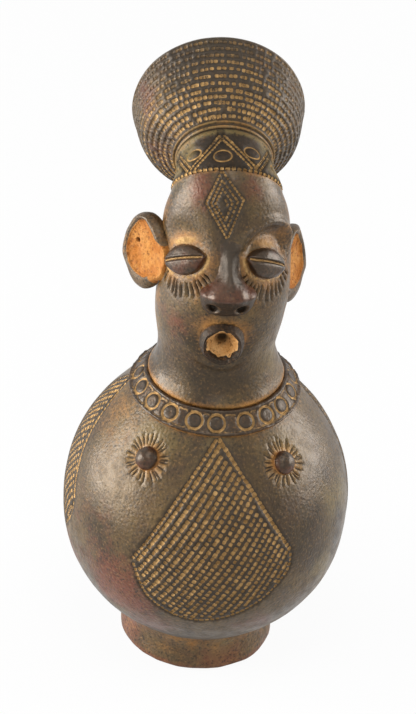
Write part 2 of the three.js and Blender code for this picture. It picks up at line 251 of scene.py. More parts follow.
# A cut line, pressed as short cross rows at places that follow it
def pressLine(marks, chart, turn, along, angle, width, depth, dust):
    cross = np.array([-0.5, -0.2, 0.2, 0.5])
    width, depth = np.asarray(width) * np.ones(len(turn)), np.asarray(depth) * np.ones(len(turn))
    a = -np.sin(angle)[:, None] * cross * width[:, None]
    b = np.cos(angle)[:, None] * cross * width[:, None]
    press(marks, chart, turn, along, a, b, depth[:, None] * [0, 1, 1, 0], dust * np.array([0.35, 1, 1, 0.35]))


# A skin over a flat chart of the given width: its points follow the marks, and its two ends meet
def wovenSkin(marks, width, low, high, spacing, columns, seed):
    rng = np.random.default_rng(seed)
    marked = {key: np.concatenate(marks[key]) if marks[key] else np.zeros(0) for key in marks}
    rows = max(3, round((high - low) / (spacing * 0.87)))
    level = low + (high - low) * np.arange(1, rows) / rows
    across = max(8, round(width / spacing))
    gridX, gridY = np.meshgrid((np.arange(across) + 0.5) / across * width, level)
    gridX = gridX + (np.arange(1, rows)[:, None] % 2 - 0.5) * 0.5 * spacing
    gridX = (gridX + rng.uniform(-0.13, 0.13, gridX.shape) * spacing).ravel()
    gridY = (gridY + rng.uniform(-0.13, 0.13, gridY.shape) * spacing).ravel()
    cell = 0.45
    busy = np.zeros((int(width / cell) + 9, int((high - low) / cell) + 9), bool)
    column = np.clip((marked["x"] / cell).astype(int) + 4, 0, busy.shape[0] - 1)
    row = np.clip(((marked["y"] - low) / cell).astype(int) + 4, 0, busy.shape[1] - 1)
    busy[column, row] = True
    grown = busy.copy()
    for dx in (-2, -1, 0, 1, 2):
        for dy in (-2, -1, 0, 1, 2):
            if abs(dx) + abs(dy) < 4:
                grown |= np.roll(np.roll(busy, dx, 0), dy, 1)
    free = ~grown[
        np.clip((gridX / cell).astype(int) + 4, 0, busy.shape[0] - 1),
        np.clip(((gridY - low) / cell).astype(int) + 4, 0, busy.shape[1] - 1),
    ]
    free &= (gridX > 0.4 * spacing) & (gridX < width - 0.4 * spacing)
    inside = (marked["x"] > 0.3) & (marked["x"] < width - 0.3)
    inside &= (marked["y"] > low + 0.2) & (marked["y"] < high - 0.2)
    edgeX = np.arange(columns + 1) / columns * width
    pick = lambda key: marked[key][inside]
    x = np.concatenate([edgeX, edgeX, np.zeros(rows - 1), np.full(rows - 1, width), gridX[free], pick("x")])
    y = np.concatenate([
        np.full(columns + 1, low), np.full(columns + 1, high), level, level, gridY[free], pick("y"),
    ])
    plain = len(x) - inside.sum()
    values = {key: np.concatenate([np.zeros(plain), pick(key)]) for key in ("depth", "dust", "shade")}
    flat = [Vector(spot) for spot in zip(x.tolist(), y.tolist())]
    _, _, triangles, origin, _, _ = delaunay_2d_cdt(flat, [], [], 0, 1e-5)
    source = np.array([ids[0] for ids in origin])
    faces = source[np.array(triangles)]
    same = np.arange(len(x))
    side = 2 * (columns + 1)
    same[columns] = 0
    same[2 * columns + 1] = columns + 1
    same[side + rows - 1 : side + 2 * (rows - 1)] = side + np.arange(rows - 1)
    faces = same[faces]
    used = np.unique(faces)
    place = np.full(len(x), -1)
    place[used] = np.arange(len(used))
    faces = place[faces]
    whole = (faces[:, 0] != faces[:, 1]) & (faces[:, 1] != faces[:, 2]) & (faces[:, 2] != faces[:, 0])
    return {
        "x": x[used], "y": y[used], **{key: value[used] for key, value in values.items()},
        "faces": faces[whole], "low": place[np.arange(columns)],
        "high": place[columns + 1 + np.arange(columns)],
    }


# Appends rings of points to a skin and joins them in a row, from its high edge
def extend(points, faces, startRing, rings):
    total = len(points)
    stack, previous = [points], startRing
    for ring in rings:
        index = total + np.arange(len(ring))
        faces.append(bandFaces(previous, index) if len(ring) > 1 else fanFaces(previous, index[0], False))
        stack.append(ring)
        total += len(ring)
        previous = index
    return np.vstack(stack), previous


# Closes a skin into a shell, through rings that lead from its high edge back to its low one
def closeShell(skin, points, rings):
    faces = [skin["faces"]]
    shell, last = extend(points, faces, skin["high"], rings)
    faces.append(bandFaces(last, skin["low"]))
    inside = np.concatenate([np.zeros(len(points)), np.ones(len(shell) - len(points))])
    return shell, faces, inside


# Colours are given in the 0 to 255 of a paint program
def paint(red, green, blue):
    linear = lambda c: c / 255 / 12.92 if c <= 10 else ((c / 255 + 0.055) / 1.055) ** 2.4
    return (linear(red), linear(green), linear(blue), 1.0)


def clayMaterial(name, look):
    material = bpy.data.materials.new(name)
    material.use_nodes = True
    nodes, links = material.node_tree.nodes, material.node_tree.links
    nodes.clear()
    place = nodes.new("ShaderNodeTexCoord")

    def feed(value, socket):
        if isinstance(value, bpy.types.NodeSocket):
            links.new(value, socket)
        else:
            socket.default_value = value

    def cloud(scale, detail=4.0, stretch=(1, 1, 1), turn=(0, 0, 0), rough=0.55):
        mapping, noise = nodes.new("ShaderNodeMapping"), nodes.new("ShaderNodeTexNoise")
        for socket, value in (("Vector", place.outputs["Object"]), ("Scale", stretch), ("Rotation", turn)):
            feed(value, mapping.inputs[socket])
        for socket, value in (
            ("Vector", mapping.outputs["Vector"]), ("Scale", scale), ("Detail", detail), ("Roughness", rough),
        ):
            feed(value, noise.inputs[socket])
        return noise.outputs[0]

    def spread(value, low, high, least=0.0, most=1.0):
        node = nodes.new("ShaderNodeMapRange")
        node.interpolation_type = "SMOOTHSTEP"
        for key, number in (("From Min", low), ("From Max", high), ("To Min", least), ("To Max", most)):
            node.inputs[key].default_value = number
        feed(value, node.inputs["Value"])
        return node.outputs["Result"]

    def sums(kind, first, second):
        node = nodes.new("ShaderNodeMath")
        node.operation = kind
        feed(first, node.inputs[0])
        feed(second, node.inputs[1])
        return node.outputs[0]

    def plus(first, second):
        return sums("ADD", first, second)

    def times(first, second):
        return sums("MULTIPLY", first, second)

    def larger(first, second):
        return sums("MAXIMUM", first, second)

    # lays the second colour over the first; a word is a colour of the look
    def blend(share, first, second):
        node = nodes.new("ShaderNodeMix")
        node.data_type = "RGBA"
        feed(share, node.inputs[0])
        for colour, socket in ((first, node.inputs[6]), (second, node.inputs[7])):
            feed(paint(*look[colour]) if isinstance(colour, str) else colour, socket)
        return node.outputs[2]

    def field(key):
        node = nodes.new("ShaderNodeAttribute")
        node.attribute_name = key
        return node.outputs["Fac"]

    broad, patchy = cloud(16, 6.0, rough=0.62), cloud(75, 6.0, rough=0.72)
    fine, pores, grain = cloud(190, 4.0, rough=0.6), cloud(780, 3.0, rough=0.6), cloud(900, 3.0, rough=0.6)
    streak = cloud(60, 4.0, stretch=(1, 1, 0.22), turn=(0.5, 0.35, 0))
    burnish = cloud(150, 1.0, stretch=(0.16, 0.16, 1.6), turn=(0.22, 0.3, 0))

    # mottled ground
    speck, gloss = look["speck"], look["gloss"]
    colour = blend(spread(broad, 0.36, 0.64), "dark", "light")
    for share, tone in (
        (spread(patchy, 0.38, 0.66, 0, 0.7), "warm"),
        (spread(streak, 0.42, 0.7, 0, 0.35), "light"),
        (spread(plus(field("red"), times(patchy, 1.2)), 0.75, 1.3, 0, look["redness"]), "red"),
        (spread(plus(field("olive"), times(streak, 0.9)), 0.6, 1.15, 0, look["oliveness"]), "olive"),
        (spread(fine, 0.5, 0.74, 0, speck), "deep"),
        (spread(pores, 0.54, 0.68, 0, speck * 0.9), "fleck"),
        (spread(pores, 0.46, 0.32, 0, speck * 1.6), "deep"),
    ):
        colour = blend(share, colour, tone)

    # a soft film of earth, dark cuts and painted shade from the shade field (shade painted into grooves,
    # hollows and undersides, and the dark ground of the patterns), earth packed in the hollows, the bare
    # dishes and the raw inside
    grit = plus(times(sums("SUBTRACT", pores, 0.5), 0.8), times(sums("SUBTRACT", fine, 0.5), 0.6))
    filmShare = spread(plus(field("film"), grit), 0.04, 1.1, 0, 0.85)
    shadeShare = field("shade")
    dustShare = spread(plus(field("dust"), times(grit, 0.3)), 0.25, 0.8, 0, 0.97)
    paleShare = spread(plus(field("pale"), times(fine, 0.35)), 0.42, 0.85)
    insideShare = spread(field("inside"), 0.2, 0.8)
    bare = blend(spread(cloud(130, 5.0, rough=0.65), 0.38, 0.66), "bare", "barePale")
    bare = blend(spread(cloud(640, 3.0), 0.54, 0.67, 0, 0.68), bare, "bareSpot")
    for share, tone in (
        (filmShare, blend(spread(streak, 0.35, 0.65), "tan", "tanPale")),
        # painted shade and dark ground: the shade field lays the darkest colour
        (shadeShare, "cut"),
        (dustShare, blend(spread(cloud(420, 3.0), 0.35, 0.68), "earthDark", "earth")),
        # the bare dishes darken with painted shade towards the mouth's pit and in the ear's pin hole
        (paleShare, blend(shadeShare, bare, "cut")),
        (insideShare, blend(spread(fine, 0.4, 0.65), "innerDark", "inner")),
    ):
        colour = blend(share, colour, tone)

    # the rubbed skin shines, the earth and the bare clay do not
    sheen = plus(spread(broad, 0.3, 0.7, gloss - 0.05, gloss + 0.07), spread(fine, 0.35, 0.7, -0.04, 0.1))
    dull = larger(insideShare, times(larger(filmShare, shadeShare), 0.5))
    dull = larger(larger(dustShare, paleShare), dull)
    height = plus(times(cloud(330, 1.0, rough=0.5), 0.24), times(burnish, look["streaks"]))
    height = plus(height, times(cloud(760, 0.5), 0.4))
    height = plus(height, times(grain, times(dull, 0.7)))
    bump = nodes.new("ShaderNodeBump")
    for key, value in (("Strength", look["bump"]), ("Distance", 0.0006), ("Height", height)):
        feed(value, bump.inputs[key])
    shader, output = nodes.new("ShaderNodeBsdfPrincipled"), nodes.new("ShaderNodeOutputMaterial")
    for key, value in (
        ("Base Color", colour), ("Roughness", plus(sheen, times(dull, 0.42))),
        ("Normal", bump.outputs["Normal"]), ("Specular IOR Level", look["shine"]),
        ("Specular Tint", look["tint"]),
    ):
        feed(value, shader.inputs[key])
    links.new(shader.outputs["BSDF"], output.inputs["Surface"])
    return material


burnishedLook = {
    "dark": (21, 15, 7), "light": (84, 66, 36), "warm": (58, 40, 25), "red": (98, 42, 28), "redness": 0.72,
    "olive": (118, 102, 60), "oliveness": 0.6, "deep": (14, 10, 6), "speck": 0.58, "fleck": (110, 84, 50),
    # the darkest colour serves both the dark cuts and the painted shade
    "tan": (156, 103, 44), "tanPale": (180, 128, 66), "cut": (12, 8, 5),
    "earth": (194, 154, 98), "earthDark": (150, 116, 70), "bare": (156, 94, 33), "barePale": (176, 120, 58),
    "bareSpot": (96, 54, 24), "inner": (100, 76, 54), "innerDark": (54, 40, 29),
    "gloss": 0.35, "shine": 0.54, "tint": (1.0, 0.83, 0.66, 1.0), "bump": 0.7, "streaks": 0.26,
}
darkLook = {
    **burnishedLook, "dark": (18, 12, 7), "light": (52, 37, 24), "warm": (44, 28, 18), "red": (80, 39, 26),
    "fleck": (84, 60, 37), "gloss": 0.34,
}
wornLook = {
    **burnishedLook, "dark": (29, 21, 13), "light": (86, 68, 42), "warm": (74, 51, 32), "red": (106, 58, 38),
    "gloss": 0.42, "bump": 0.95,
}
mouthLook = {
    **darkLook, "dark": (14, 9, 6), "light": (40, 28, 18), "bare": (198, 146, 86),
    "barePale": (226, 182, 124), "bareSpot": (88, 58, 30), "gloss": 0.52, "shine": 0.34, "bump": 0.95,
}
# the band's clay is a darker and rougher copy of the dark clay, the darkness partly painted shade for the
# band under the crown's flare
bandLook = {**darkLook, "dark": (14, 10, 6), "light": (44, 32, 20), "gloss": 0.52, "shine": 0.36}
burnishedClay = clayMaterial("burnishedClay", burnishedLook)
darkClay = clayMaterial("darkClay", darkLook)
wornClay = clayMaterial("wornClay", wornLook)
mouthClay = clayMaterial("mouthClay", mouthLook)
bandClay = clayMaterial("bandClay", bandLook)
print("clays mixed")

# Globe
globe = {
    "radius": 70, "centreZ": 83, "drop": 71, "fullness": 2.2, "rise": 73, "wall": 6.5, "neckRadius": 30.9,
    "shoulderStart": 0.616, "shoulderPull": 16, "columns": 180, "spacing": 2.0, "seamTurn": 135,
    "poleRadius": 4,
}


def shoulderLine(share):
    top = math.asin(globe["shoulderStart"])
    startZ = globe["centreZ"] + globe["rise"] * globe["shoulderStart"]
    start = np.array([globe["radius"] * math.cos(top), startZ])
    pull = np.array([-globe["radius"] * math.sin(top), globe["rise"] * math.cos(top)])
    bend = start + pull / np.linalg.norm(pull) * globe["shoulderPull"]
    end = np.array([globe["neckRadius"], neckZ])
    t = np.asarray(share, float)[:, None]
    return (1 - t) ** 2 * start + 2 * t * (1 - t) * bend + t * t * end


def globeOutline():
    turn = np.linspace(-pi / 2, math.asin(globe["shoulderStart"]), 600)
    power = 2 / globe["fullness"]
    across, upward = np.clip(np.cos(turn), 0, 1), np.abs(np.sin(turn))
    radius = globe["radius"] * np.where(turn < 0, across**power, across)
    height = globe["centreZ"] + np.where(turn < 0, -globe["drop"] * upward**power, globe["rise"] * upward)
    line = np.vstack([np.stack([radius, height], axis=1), shoulderLine(np.linspace(0, 1, 120)[1:])])
    length = lengthAlong(line)
    even = np.linspace(0, length[-1], 900)
    radius, height = np.interp(even, length, line[:, 0]), np.interp(even, length, line[:, 1])
    slopeR, slopeZ = np.gradient(radius, even), np.gradient(height, even)
    size = np.hypot(slopeR, slopeZ)
    return {"along": even, "radius": radius, "height": height, "outR": slopeZ / size, "outZ": -slopeR / size}


outline = globeOutline()


def onGlobe(key, along):
    return np.interp(along, outline["along"], outline[key])


def globeAlong(height):
    return np.interp(height, outline["height"], outline["along"])


def globeSkin(turn, along, lift):
    reach = onGlobe("radius", along) + onGlobe("outR", along) * lift
    height = onGlobe("height", along) + onGlobe("outZ", along) * lift
    return around(turn, reach, height)


def globeChart(turn, along, a, b):
    turned = turn[:, None] + a / onGlobe("radius", along)[:, None]
    return (turned - rad(globe["seamTurn"])) % (2 * pi) * globe["radius"], along[:, None] + b


# Three spade-shaped panels of pressed squares round the globe. Corners are degrees round the globe and
# height.
panel = {
    "turns": (0, -104, 112), "apex": (0.5, 146.3), "right": (33.8, 93), "left": (-32.5, 86),
    "bowl": [(31.6, 81.5), (17.5, 63.8), (-4, 54.4), (-23.8, 65.4)],
    "rowPitch": 3.4, "pitPitch": 2.63, "half": (1.16, 1.03), "depth": 0.62, "sideDepth": 0.5,
    "rows": 59, "rowLength": 190, "rowStart": 60, "margin": 1.8, "jitter": 0.12, "wave": 0.22,
    "edgePitch": 2.7, "edgeHalf": (1.2, 1.05), "bowlHalf": (1.1, 0.86), "edgeDepth": 0.7,
}


def flatSpot(degrees, height):
    along = globeAlong(height)
    return np.array([rad(degrees) * onGlobe("radius", along), along])


def inOutline(spots, corners):
    inside = np.zeros(len(spots), bool)
    for (x0, y0), (x1, y1) in zip(corners, np.roll(corners, -1, axis=0)):
        crosses = (spots[:, 1] < y0) != (spots[:, 1] < y1)
        with np.errstate(divide="ignore", invalid="ignore"):
            inside ^= crosses & (spots[:, 0] < (x1 - x0) * (spots[:, 1] - y0) / (y1 - y0) + x0)
    return inside


def edgeDistance(spots, corners):
    nearest = np.full(len(spots), 1e9)
    for p, q in zip(corners, np.roll(corners, -1, axis=0)):
        line = q - p
        share = np.clip((spots - p) @ line / max(line @ line, 1e-9), 0, 1)
        nearest = np.minimum(nearest, np.linalg.norm(spots - p - share[:, None] * line, axis=1))
    return nearest


# Even steps along a line of points, with the direction at each
def evenSteps(line, pitch, start=0.5):
    length = lengthAlong(line)
    at = np.arange(start * pitch, length[-1] - 0.3 * pitch, pitch)
    spotsAt = lambda where: np.stack([np.interp(where, length, line[:, k]) for k in (0, 1)], axis=1)
    step = spotsAt(at + 0.2) - spotsAt(at - 0.2)
    return spotsAt(at), np.arctan2(step[:, 1], step[:, 0])


def panelLines():
    apex, right, left = (flatSpot(*panel[key]) for key in ("apex", "right", "left"))
    bowl = smoothLine([right] + [flatSpot(*spot) for spot in panel["bowl"]] + [left], 8)
    return apex, right, left, bowl


def panelGround(turn, along):
    apex, _, _, bowl = panelLines()
    ground = np.zeros(len(turn))
    for turnDegrees in panel["turns"]:
        away = wrapped(turn - rad(turnDegrees))
        places = np.stack([away * onGlobe("radius", along), along], axis=1)
        ground += inOutline(places, np.vstack([apex, bowl]))
    return ground


def pressPanel(marks, turnDegrees, seed):
    rng = np.random.default_rng(seed)
    apex, right, left, bowl = panelLines()
    corners = np.vstack([apex, bowl])
    along = (apex - left) / np.linalg.norm(apex - left)
    inward = np.array([along[1], -along[0]])
    pitch = panel["pitPitch"]
    even = np.arange(0, panel["rowLength"], pitch)
    spots = []
    for row in range(1, panel["rows"] + 1):
        start = left - panel["rowStart"] * along + inward * (row - 0.2) * panel["rowPitch"]
        drift = rng.uniform(0, pitch)
        steps = drift + even + panel["jitter"] * rng.standard_normal(len(even))
        wave = panel["wave"] * np.sin(steps / 17 + row * 0.6)
        spots.append(start + steps[:, None] * along + wave[:, None] * inward)
    spots = np.vstack(spots)
    spots = spots[inOutline(spots, corners)]
    spots = spots[edgeDistance(spots, corners) > panel["margin"]]
    slope = math.atan2(along[1], along[0])

    def placed(places):
        return rad(turnDegrees) + places[:, 0] / onGlobe("radius", places[:, 1]), places[:, 1]

    depth = panel["depth"] if turnDegrees == 0 else panel["sideDepth"]
    pressSquares(marks, globeChart, *placed(spots), slope, *panel["half"], depth, seed)
    edges = (
        ([right, apex], panel["edgePitch"], panel["edgeHalf"]), ([apex, left], pitch, panel["bowlHalf"]),
        (bowl, pitch, panel["bowlHalf"]),
    )
    for k, (line, edgePitch, half) in enumerate(edges):
        edge, angle = evenSteps(np.array(line), edgePitch, 0.8)
        pressSquares(marks, globeChart, *placed(edge), angle, *half, panel["edgeDepth"], seed + k + 1)


# Breasts, each a dome with a ring of short cuts round it
breast = {
    "turn": 39.2, "share": (0.71 - 0.616) / (1 - 0.616) * 0.72, "radius": 5.7, "height": 4.9,
    "cuts": 25, "cutStart": 6.9, "cutLength": 4.1, "cutWidth": 0.95, "cutDepth": 0.75,
}


def breastAlong():
    return globeAlong(shoulderLine([breast["share"]])[0][1])


def pressRays(marks, side, seed):
    rng = np.random.default_rng(seed)
    count = breast["cuts"]
    angle = spokes(count) + 0.06 * rng.standard_normal(count)
    length = breast["cutLength"] * (1 + 0.16 * rng.standard_normal(count))
    share = np.linspace(0, 1, 6)
    reach = breast["cutStart"] + 0.35 * rng.standard_normal(count)[:, None] + length[:, None] * share
    width = breast["cutWidth"] * (0.35 + 0.65 * np.sin(pi * (0.15 + 0.75 * share)))
    turn, along = np.full(count, side * rad(breast["turn"])), np.full(count, breastAlong())
    cos, sin = np.cos(angle)[:, None], np.sin(angle)[:, None]
    # dark down the middle of each cut: partly the dark line of the cut, partly painted shadow in the groove
    edge, middle = (0, 0.42, 0), (1, 0, 0.9)
    for cross, (level, dust, shade) in ((-0.62, edge), (-0.22, middle), (0.22, middle), (0.62, edge)):
        a, b = cos * reach - sin * cross * width, sin * reach + cos * cross * width
        deep = level * breast["cutDepth"] * np.sin(pi * (0.12 + 0.8 * share)) ** 0.6
        press(marks, globeChart, turn, along, a, b, deep, dust, shade * np.linspace(0.7, 1, 6))


def globeFilm(points, along):
    x, y, z = points.T
    film = 0.4 * ease(globeAlong(141), globeAlong(149), along)
    # the pale patch on the shoulder towards -X is partly pale film and partly a painted sheen of the soft box
    # on that side
    film = np.maximum(film, 0.38 * hump(x, -42, 20) * hump(y, -14, 24) * hump(z, 138, 16))
    for side in (-1, 1):
        turn = np.array([side * rad(breast["turn"])])
        spot = globeSkin(turn, np.array([breastAlong()]), np.zeros(1))[0]
        away = np.linalg.norm(points - spot, axis=1)
        film = np.maximum(film, 0.75 * hump(away, 6.3, 0.9) + 0.35 * hump(away, 8.5, 3.2))
    film = np.maximum(film, 0.25 * hump(z, 24, 4))
    return film * (0.8 + 0.45 * softNoise(points, 9, 41))


def makeGlobe():
    marks = newMarks()
    for k, turnDegrees in enumerate(panel["turns"]):
        pressPanel(marks, turnDegrees, 100 + 10 * k)
    for side in (-1, 1):
        pressRays(marks, side, 150 + side)
    radius, wall, columns, seam = globe["radius"], globe["wall"], globe["columns"], rad(globe["seamTurn"])
    low = float(np.interp(globe["poleRadius"], outline["radius"][:300], outline["along"][:300]))
    high = float(outline["along"][-1])
    skin = wovenSkin(marks, 2 * pi * radius, low, high, globe["spacing"], columns, 7)
    turn, along = skin["x"] / radius + seam, skin["y"]
    base = globeSkin(turn, along, np.zeros(len(turn)))
    swell = uneven(base, 11) * ease(high, high - 6, along) * ease(low, low + 26, along)
    points = globeSkin(turn, along, swell - skin["depth"])
    shade = np.maximum(skin["shade"], 0.95 * panelGround(turn, along) * (skin["depth"] < 0.05))
    # painted shade on the globe's underside, darker towards the bottom
    shade = np.maximum(shade, 0.7 * ease(52, 20, base[:, 2]) * (0.8 + 0.4 * softNoise(base, 12, 42)))
    fields = {"dust": skin["dust"], "film": globeFilm(base, along), "shade": shade}

    # round the neck's opening, down the inside to its lowest point, and a cap under the outside
    circle = spokes(columns, seam)
    bore, bottom = globe["neckRadius"] - wall, globe["centreZ"] - globe["drop"]
    rings = [around(circle, bore, neckZ), around(circle, bore, neckZ - 5)]
    stop = float(np.interp(-bore - 2, -outline["radius"][450:], outline["along"][450:]))
    for innerAlong in np.linspace(stop, low + 8, 44):
        inner = globeSkin(circle, np.full(columns, innerAlong), np.full(columns, -float(wall)))
        inner[:, 2] = np.minimum(inner[:, 2], neckZ - 6)
        rings.append(inner)
    rings.append(np.array([[0, 0, bottom + wall]]))
    faces = [skin["faces"]]
    points, _ = extend(points, faces, skin["high"], rings)
    fields["inside"] = np.arange(len(points)) >= len(turn)
    points = np.vstack([points, [[0, 0, bottom]]])
    faces.append(fanFaces(skin["low"], len(points) - 1, True))
    addPiece("bodyGlobe", points, faces, fields, burnishedClay, "body_globe")


makeGlobe()

# Foot ring, worn round its edge
foot = {"radius": 37.8, "waist": 36.2, "bore": 29.5, "columns": 200}


def makeFoot():
    radius, waist, bore = foot["radius"], foot["waist"], foot["bore"]
    outside = smoothLine([
        (radius - 1.4, 0.0), (radius - 0.35, 0.5), (radius, 1.6), (radius - 0.5, 5), (waist + 0.2, 9),
        (waist, 13), (waist + 0.9, 17.5), (waist + 3, 21.4), (waist + 6.6, 24.6), (waist + 10, 26.6),
    ], 7)
    profile = np.vstack([
        [(bore, 0.0), (bore + 3, 0.0), (radius - 4, 0.0)], outside,
        [(waist + 6, 27.5), (bore + 3, 21), (bore, 18), (bore, 12), (bore, 6)],
    ])
    points = np.vstack([around(spokes(foot["columns"]), reach, height) for reach, height in profile])
    rows = np.arange(len(points)).reshape(len(profile), -1)
    faces = [bandFaces(rows[i], rows[(i + 1) % len(rows)]) for i in range(len(rows))]
    reach, height = np.linalg.norm(points[:, :2], axis=1), points[:, 2]
    out = points * [1, 1, 0] / reach[:, None]
    outer = reach > bore + 4
    swell = 0.55 * softNoise(points, 24, 21) + 0.32 * softNoise(points, 9, 22)
    swell = swell + 0.1 * softNoise(points, 3, 23)
    points = points + out * (swell * outer * ease(26, 20, height))[:, None]
    nick = 0.5 * np.maximum(softNoise(points, 6, 24), 0) * ease(3, 0.5, height) * outer
    points = points - out * nick[:, None]
    wipe = np.maximum(softNoise(points * [1, 1, 0.3], 4, 27), 0)
    wipe = wipe + 0.7 * np.maximum(softNoise(points * [0.3, 0.3, 1], 2.5, 28), 0)
    film = (0.3 * hump(height, 20, 5) + 0.1) * (0.7 + 0.6 * softNoise(points, 7, 25))
    film = outer * np.clip(film + 0.4 * wipe * hump(height, 12, 9), 0, 0.8)
    red = outer * (0.75 * ease(5, 0.5, height) + 0.25) * (0.8 + 0.5 * softNoise(points, 14, 26))
    fields = {"film": film, "red": withPatches(points, "red", red)}
    addPiece("footRing", points, faces, fields, wornClay, "foot_ring")


makeFoot()

# Necklace: a strip between two rolled edges, stamped with rings
necklace = {
    "start": 0.67, "thick": 2.3, "under": -2.2, "roll": 0.9, "rings": 19, "ringRadius": 3.95,
    "ringWidth": 1.3, "ringDepth": 0.85, "columns": 200, "reference": 38.0, "spacing": 0.8,
}


def necklacePlace(turn, share, lift):
    at = necklace["start"] + np.asarray(share) * (1 - necklace["start"])
    spot = shoulderLine(at)
    ahead = unit(shoulderLine(at + 1e-3) - shoulderLine(at - 1e-3))
    return around(turn, spot[:, 0] + ahead[:, 1] * lift, spot[:, 1] - ahead[:, 0] * lift)


def makeNecklace():
    line = shoulderLine(necklace["start"] + np.linspace(0, 1, 200) * (1 - necklace["start"]))
    length = lengthAlong(line)
    total = float(length[-1])
    reference, columns = necklace["reference"], necklace["columns"]

    def chart(turn, along, a, b):
        radius = np.interp(along, length, line[:, 0]) + necklace["thick"] * 0.7
        return (turn[:, None] + a / radius[:, None] - pi) % (2 * pi) * reference, along[:, None] + b

    marks = newMarks()
    rng = np.random.default_rng(31)
    count = necklace["rings"]
    places = spokes(count, pi, 0.5) + 0.02 * rng.standard_normal(count)
    spoke = spokes(30)
    # reach across the stamped line, with depth, earth and shade; the shade beside the ring is painted shadow
    # at the groove's edges, the shade in the disc is its own dark clay
    cut = (
        (-1.6, 0, 0, 0.45), (-0.58, 0, 0.1, 0.7), (-0.28, 1, 0.95, 0), (0.28, 0.95, 1.05, 0),
        (0.58, 0, 0.3, 0.5),
    )
    for reach, deep, dust, shade in cut:
        radius = necklace["ringRadius"] + reach * necklace["ringWidth"]
        fresh = 1 + 0.15 * np.sin(spoke + rng.uniform(0, 6, (count, 1)))
        depth = deep * necklace["ringDepth"] * fresh
        middle = np.full(count, total * 0.5)
        a, b = np.cos(spoke) * radius, np.sin(spoke) * radius
        press(marks, chart, places, middle, a, b, depth, dust, shade)
    skin = wovenSkin(marks, 2 * pi * reference, 0.0, total, necklace["spacing"], columns, 32)
    turn, share = skin["x"] / reference + pi, skin["y"] / total
    rolls = 1.1 * hump(share, 0.085, 0.055) + 1.7 * hump(share, 0.895, 0.072)
    lines = hump(share, 0.175, 0.03) + hump(share, 0.79, 0.032)
    lift = necklace["thick"] + necklace["roll"] * rolls - 0.7 * lines
    lift = lift * ease(-0.015, 0.055, share) ** 0.6 - 0.5 * ease(0.1, 0, share) - 0.9 * ease(0.95, 1.0, share)
    base = necklacePlace(turn, share, lift)
    lift += 0.22 * softNoise(base, 9, 33) + 0.1 * softNoise(base, 3.5, 34)
    points = necklacePlace(turn, share, lift - skin["depth"])
    dust = np.maximum(skin["dust"], 0.8 * np.clip(lines, 0, 1)) * (0.86 + 0.3 * softNoise(base, 4, 35))
    film = 0.75 * ease(0.05, 0.0, share) + 0.5 * ease(0.975, 1.0, share) + 0.08 * (1 - np.clip(rolls, 0, 1))
    film = np.clip(film + 0.16 * softNoise(base, 5, 36), 0, 1) * ease(1.1, 0.6, np.abs(skin["depth"]))
    ringTurn, one = spokes(columns, pi), np.ones(columns)
    rings = [necklacePlace(ringTurn, one * at, one * necklace["under"]) for at in (0.96, 0.5, 0.04)]
    points, faces, _ = closeShell(skin, points, rings)
    fields = {"dust": dust, "film": film, "shade": skin["shade"], "olive": noField}
    addPiece("necklaceBand", points, faces, fields, darkClay, "necklace_band")


makeNecklace()

# Head, hair band and crown share one run of stations: sideways, backward and upward place of the centre,
# backward lean, and reach to the side, front and back
stations = {
    "joint": (0, 0, 0.3, 0, 30.9, 30.9, 30.9),
    "root": (0, 0, 2.4, 0, 32.7, 32.7, 32.7),
    "spring": (0, 0, 9, 0, 29.8, 29.8, 30.2),
    "neck": (-1, 0, 20.4, 0, 28, 28, 29.4),
    "jaw": (-0.8, 0, 38, 4, 30.9, 30.8, 32),
    "cheek": (0, 0.7, 55, 14, 31.6, 32.2, 33.4),
    "brow": (-0.8, 5.6, 85.5, 40, 29.8, 29.4, 31.4),
    "hairline": (-1.5, 9.1, 98.8, 56, 25.6, 25.2, 23.8),
    "flareRoot": (-2.8, 21, 107.2, 74, 22, 22.4, 21.7),
    "flare": (-4.2, 35.5, 111.6, 80, 36.6, 34, 36.8),
    "rim": (-4.9, 53.9, 115.6, 84, 41.3, 42, 41.3),
}
stationRows = np.array(list(stations.values()), float)
headWall, crownWall = 6.0, 4.6
hollow = {"run": 5.51, "turn": 41, "depth": 2.8, "turnReach": 22, "runReach": 0.4}


def stationAt(run):
    last = len(stationRows) - 1
    low = np.clip(np.floor(run).astype(int), 0, last - 1)
    t = (run - low)[:, None]
    here, there = stationRows[low], stationRows[low + 1]
    before, after = stationRows[np.maximum(low - 1, 0)], stationRows[np.minimum(low + 2, last)]
    leave = np.where((low > 0)[:, None], (there - before) / 2, there - here)
    reach = np.where((low < last - 1)[:, None], (after - here) / 2, there - here)
    start = (2 * t**3 - 3 * t**2 + 1) * here + (t**3 - 2 * t**2 + t) * leave
    return start + (3 * t**2 - 2 * t**3) * there + (t**3 - t**2) * reach


# The outside has a hollow round each eye; an inset gives the plain inside
def headBase(run, turn, inset=0.0, shift=0.0):
    run, turn = np.broadcast_arrays(np.asarray(run, float), np.asarray(turn, float))
    x, y, rise, lean, side, front, back = stationAt(run).T
    turn, tilt = wrapped(turn), np.radians(lean)
    face = np.zeros(len(run))
    if inset == 0:
        up = (run - hollow["run"]) / hollow["runReach"]
        for way in (-1, 1):
            across = (np.degrees(turn) - way * hollow["turn"]) / hollow["turnReach"]
            face += hollow["depth"] * np.exp(-across**2 - up**2)
    depth = np.cos(turn) * (np.where(np.cos(turn) > 0, front, back) - inset - face)
    return np.stack([
        x + np.sin(turn) * (side - inset - face),
        y - depth * np.cos(tilt) + shift * np.sin(tilt),
        neckZ + rise + depth * np.sin(tilt) + shift * np.cos(tilt),
    ], axis=1)


def headSlopes(run, turn):
    step = 0.01
    across = (headBase(run, turn + step) - headBase(run, turn - step)) / (2 * step)
    upward = (headBase(run + step, turn) - headBase(run - step, turn)) / (2 * step)
    return across, upward, unit(np.cross(across, upward))


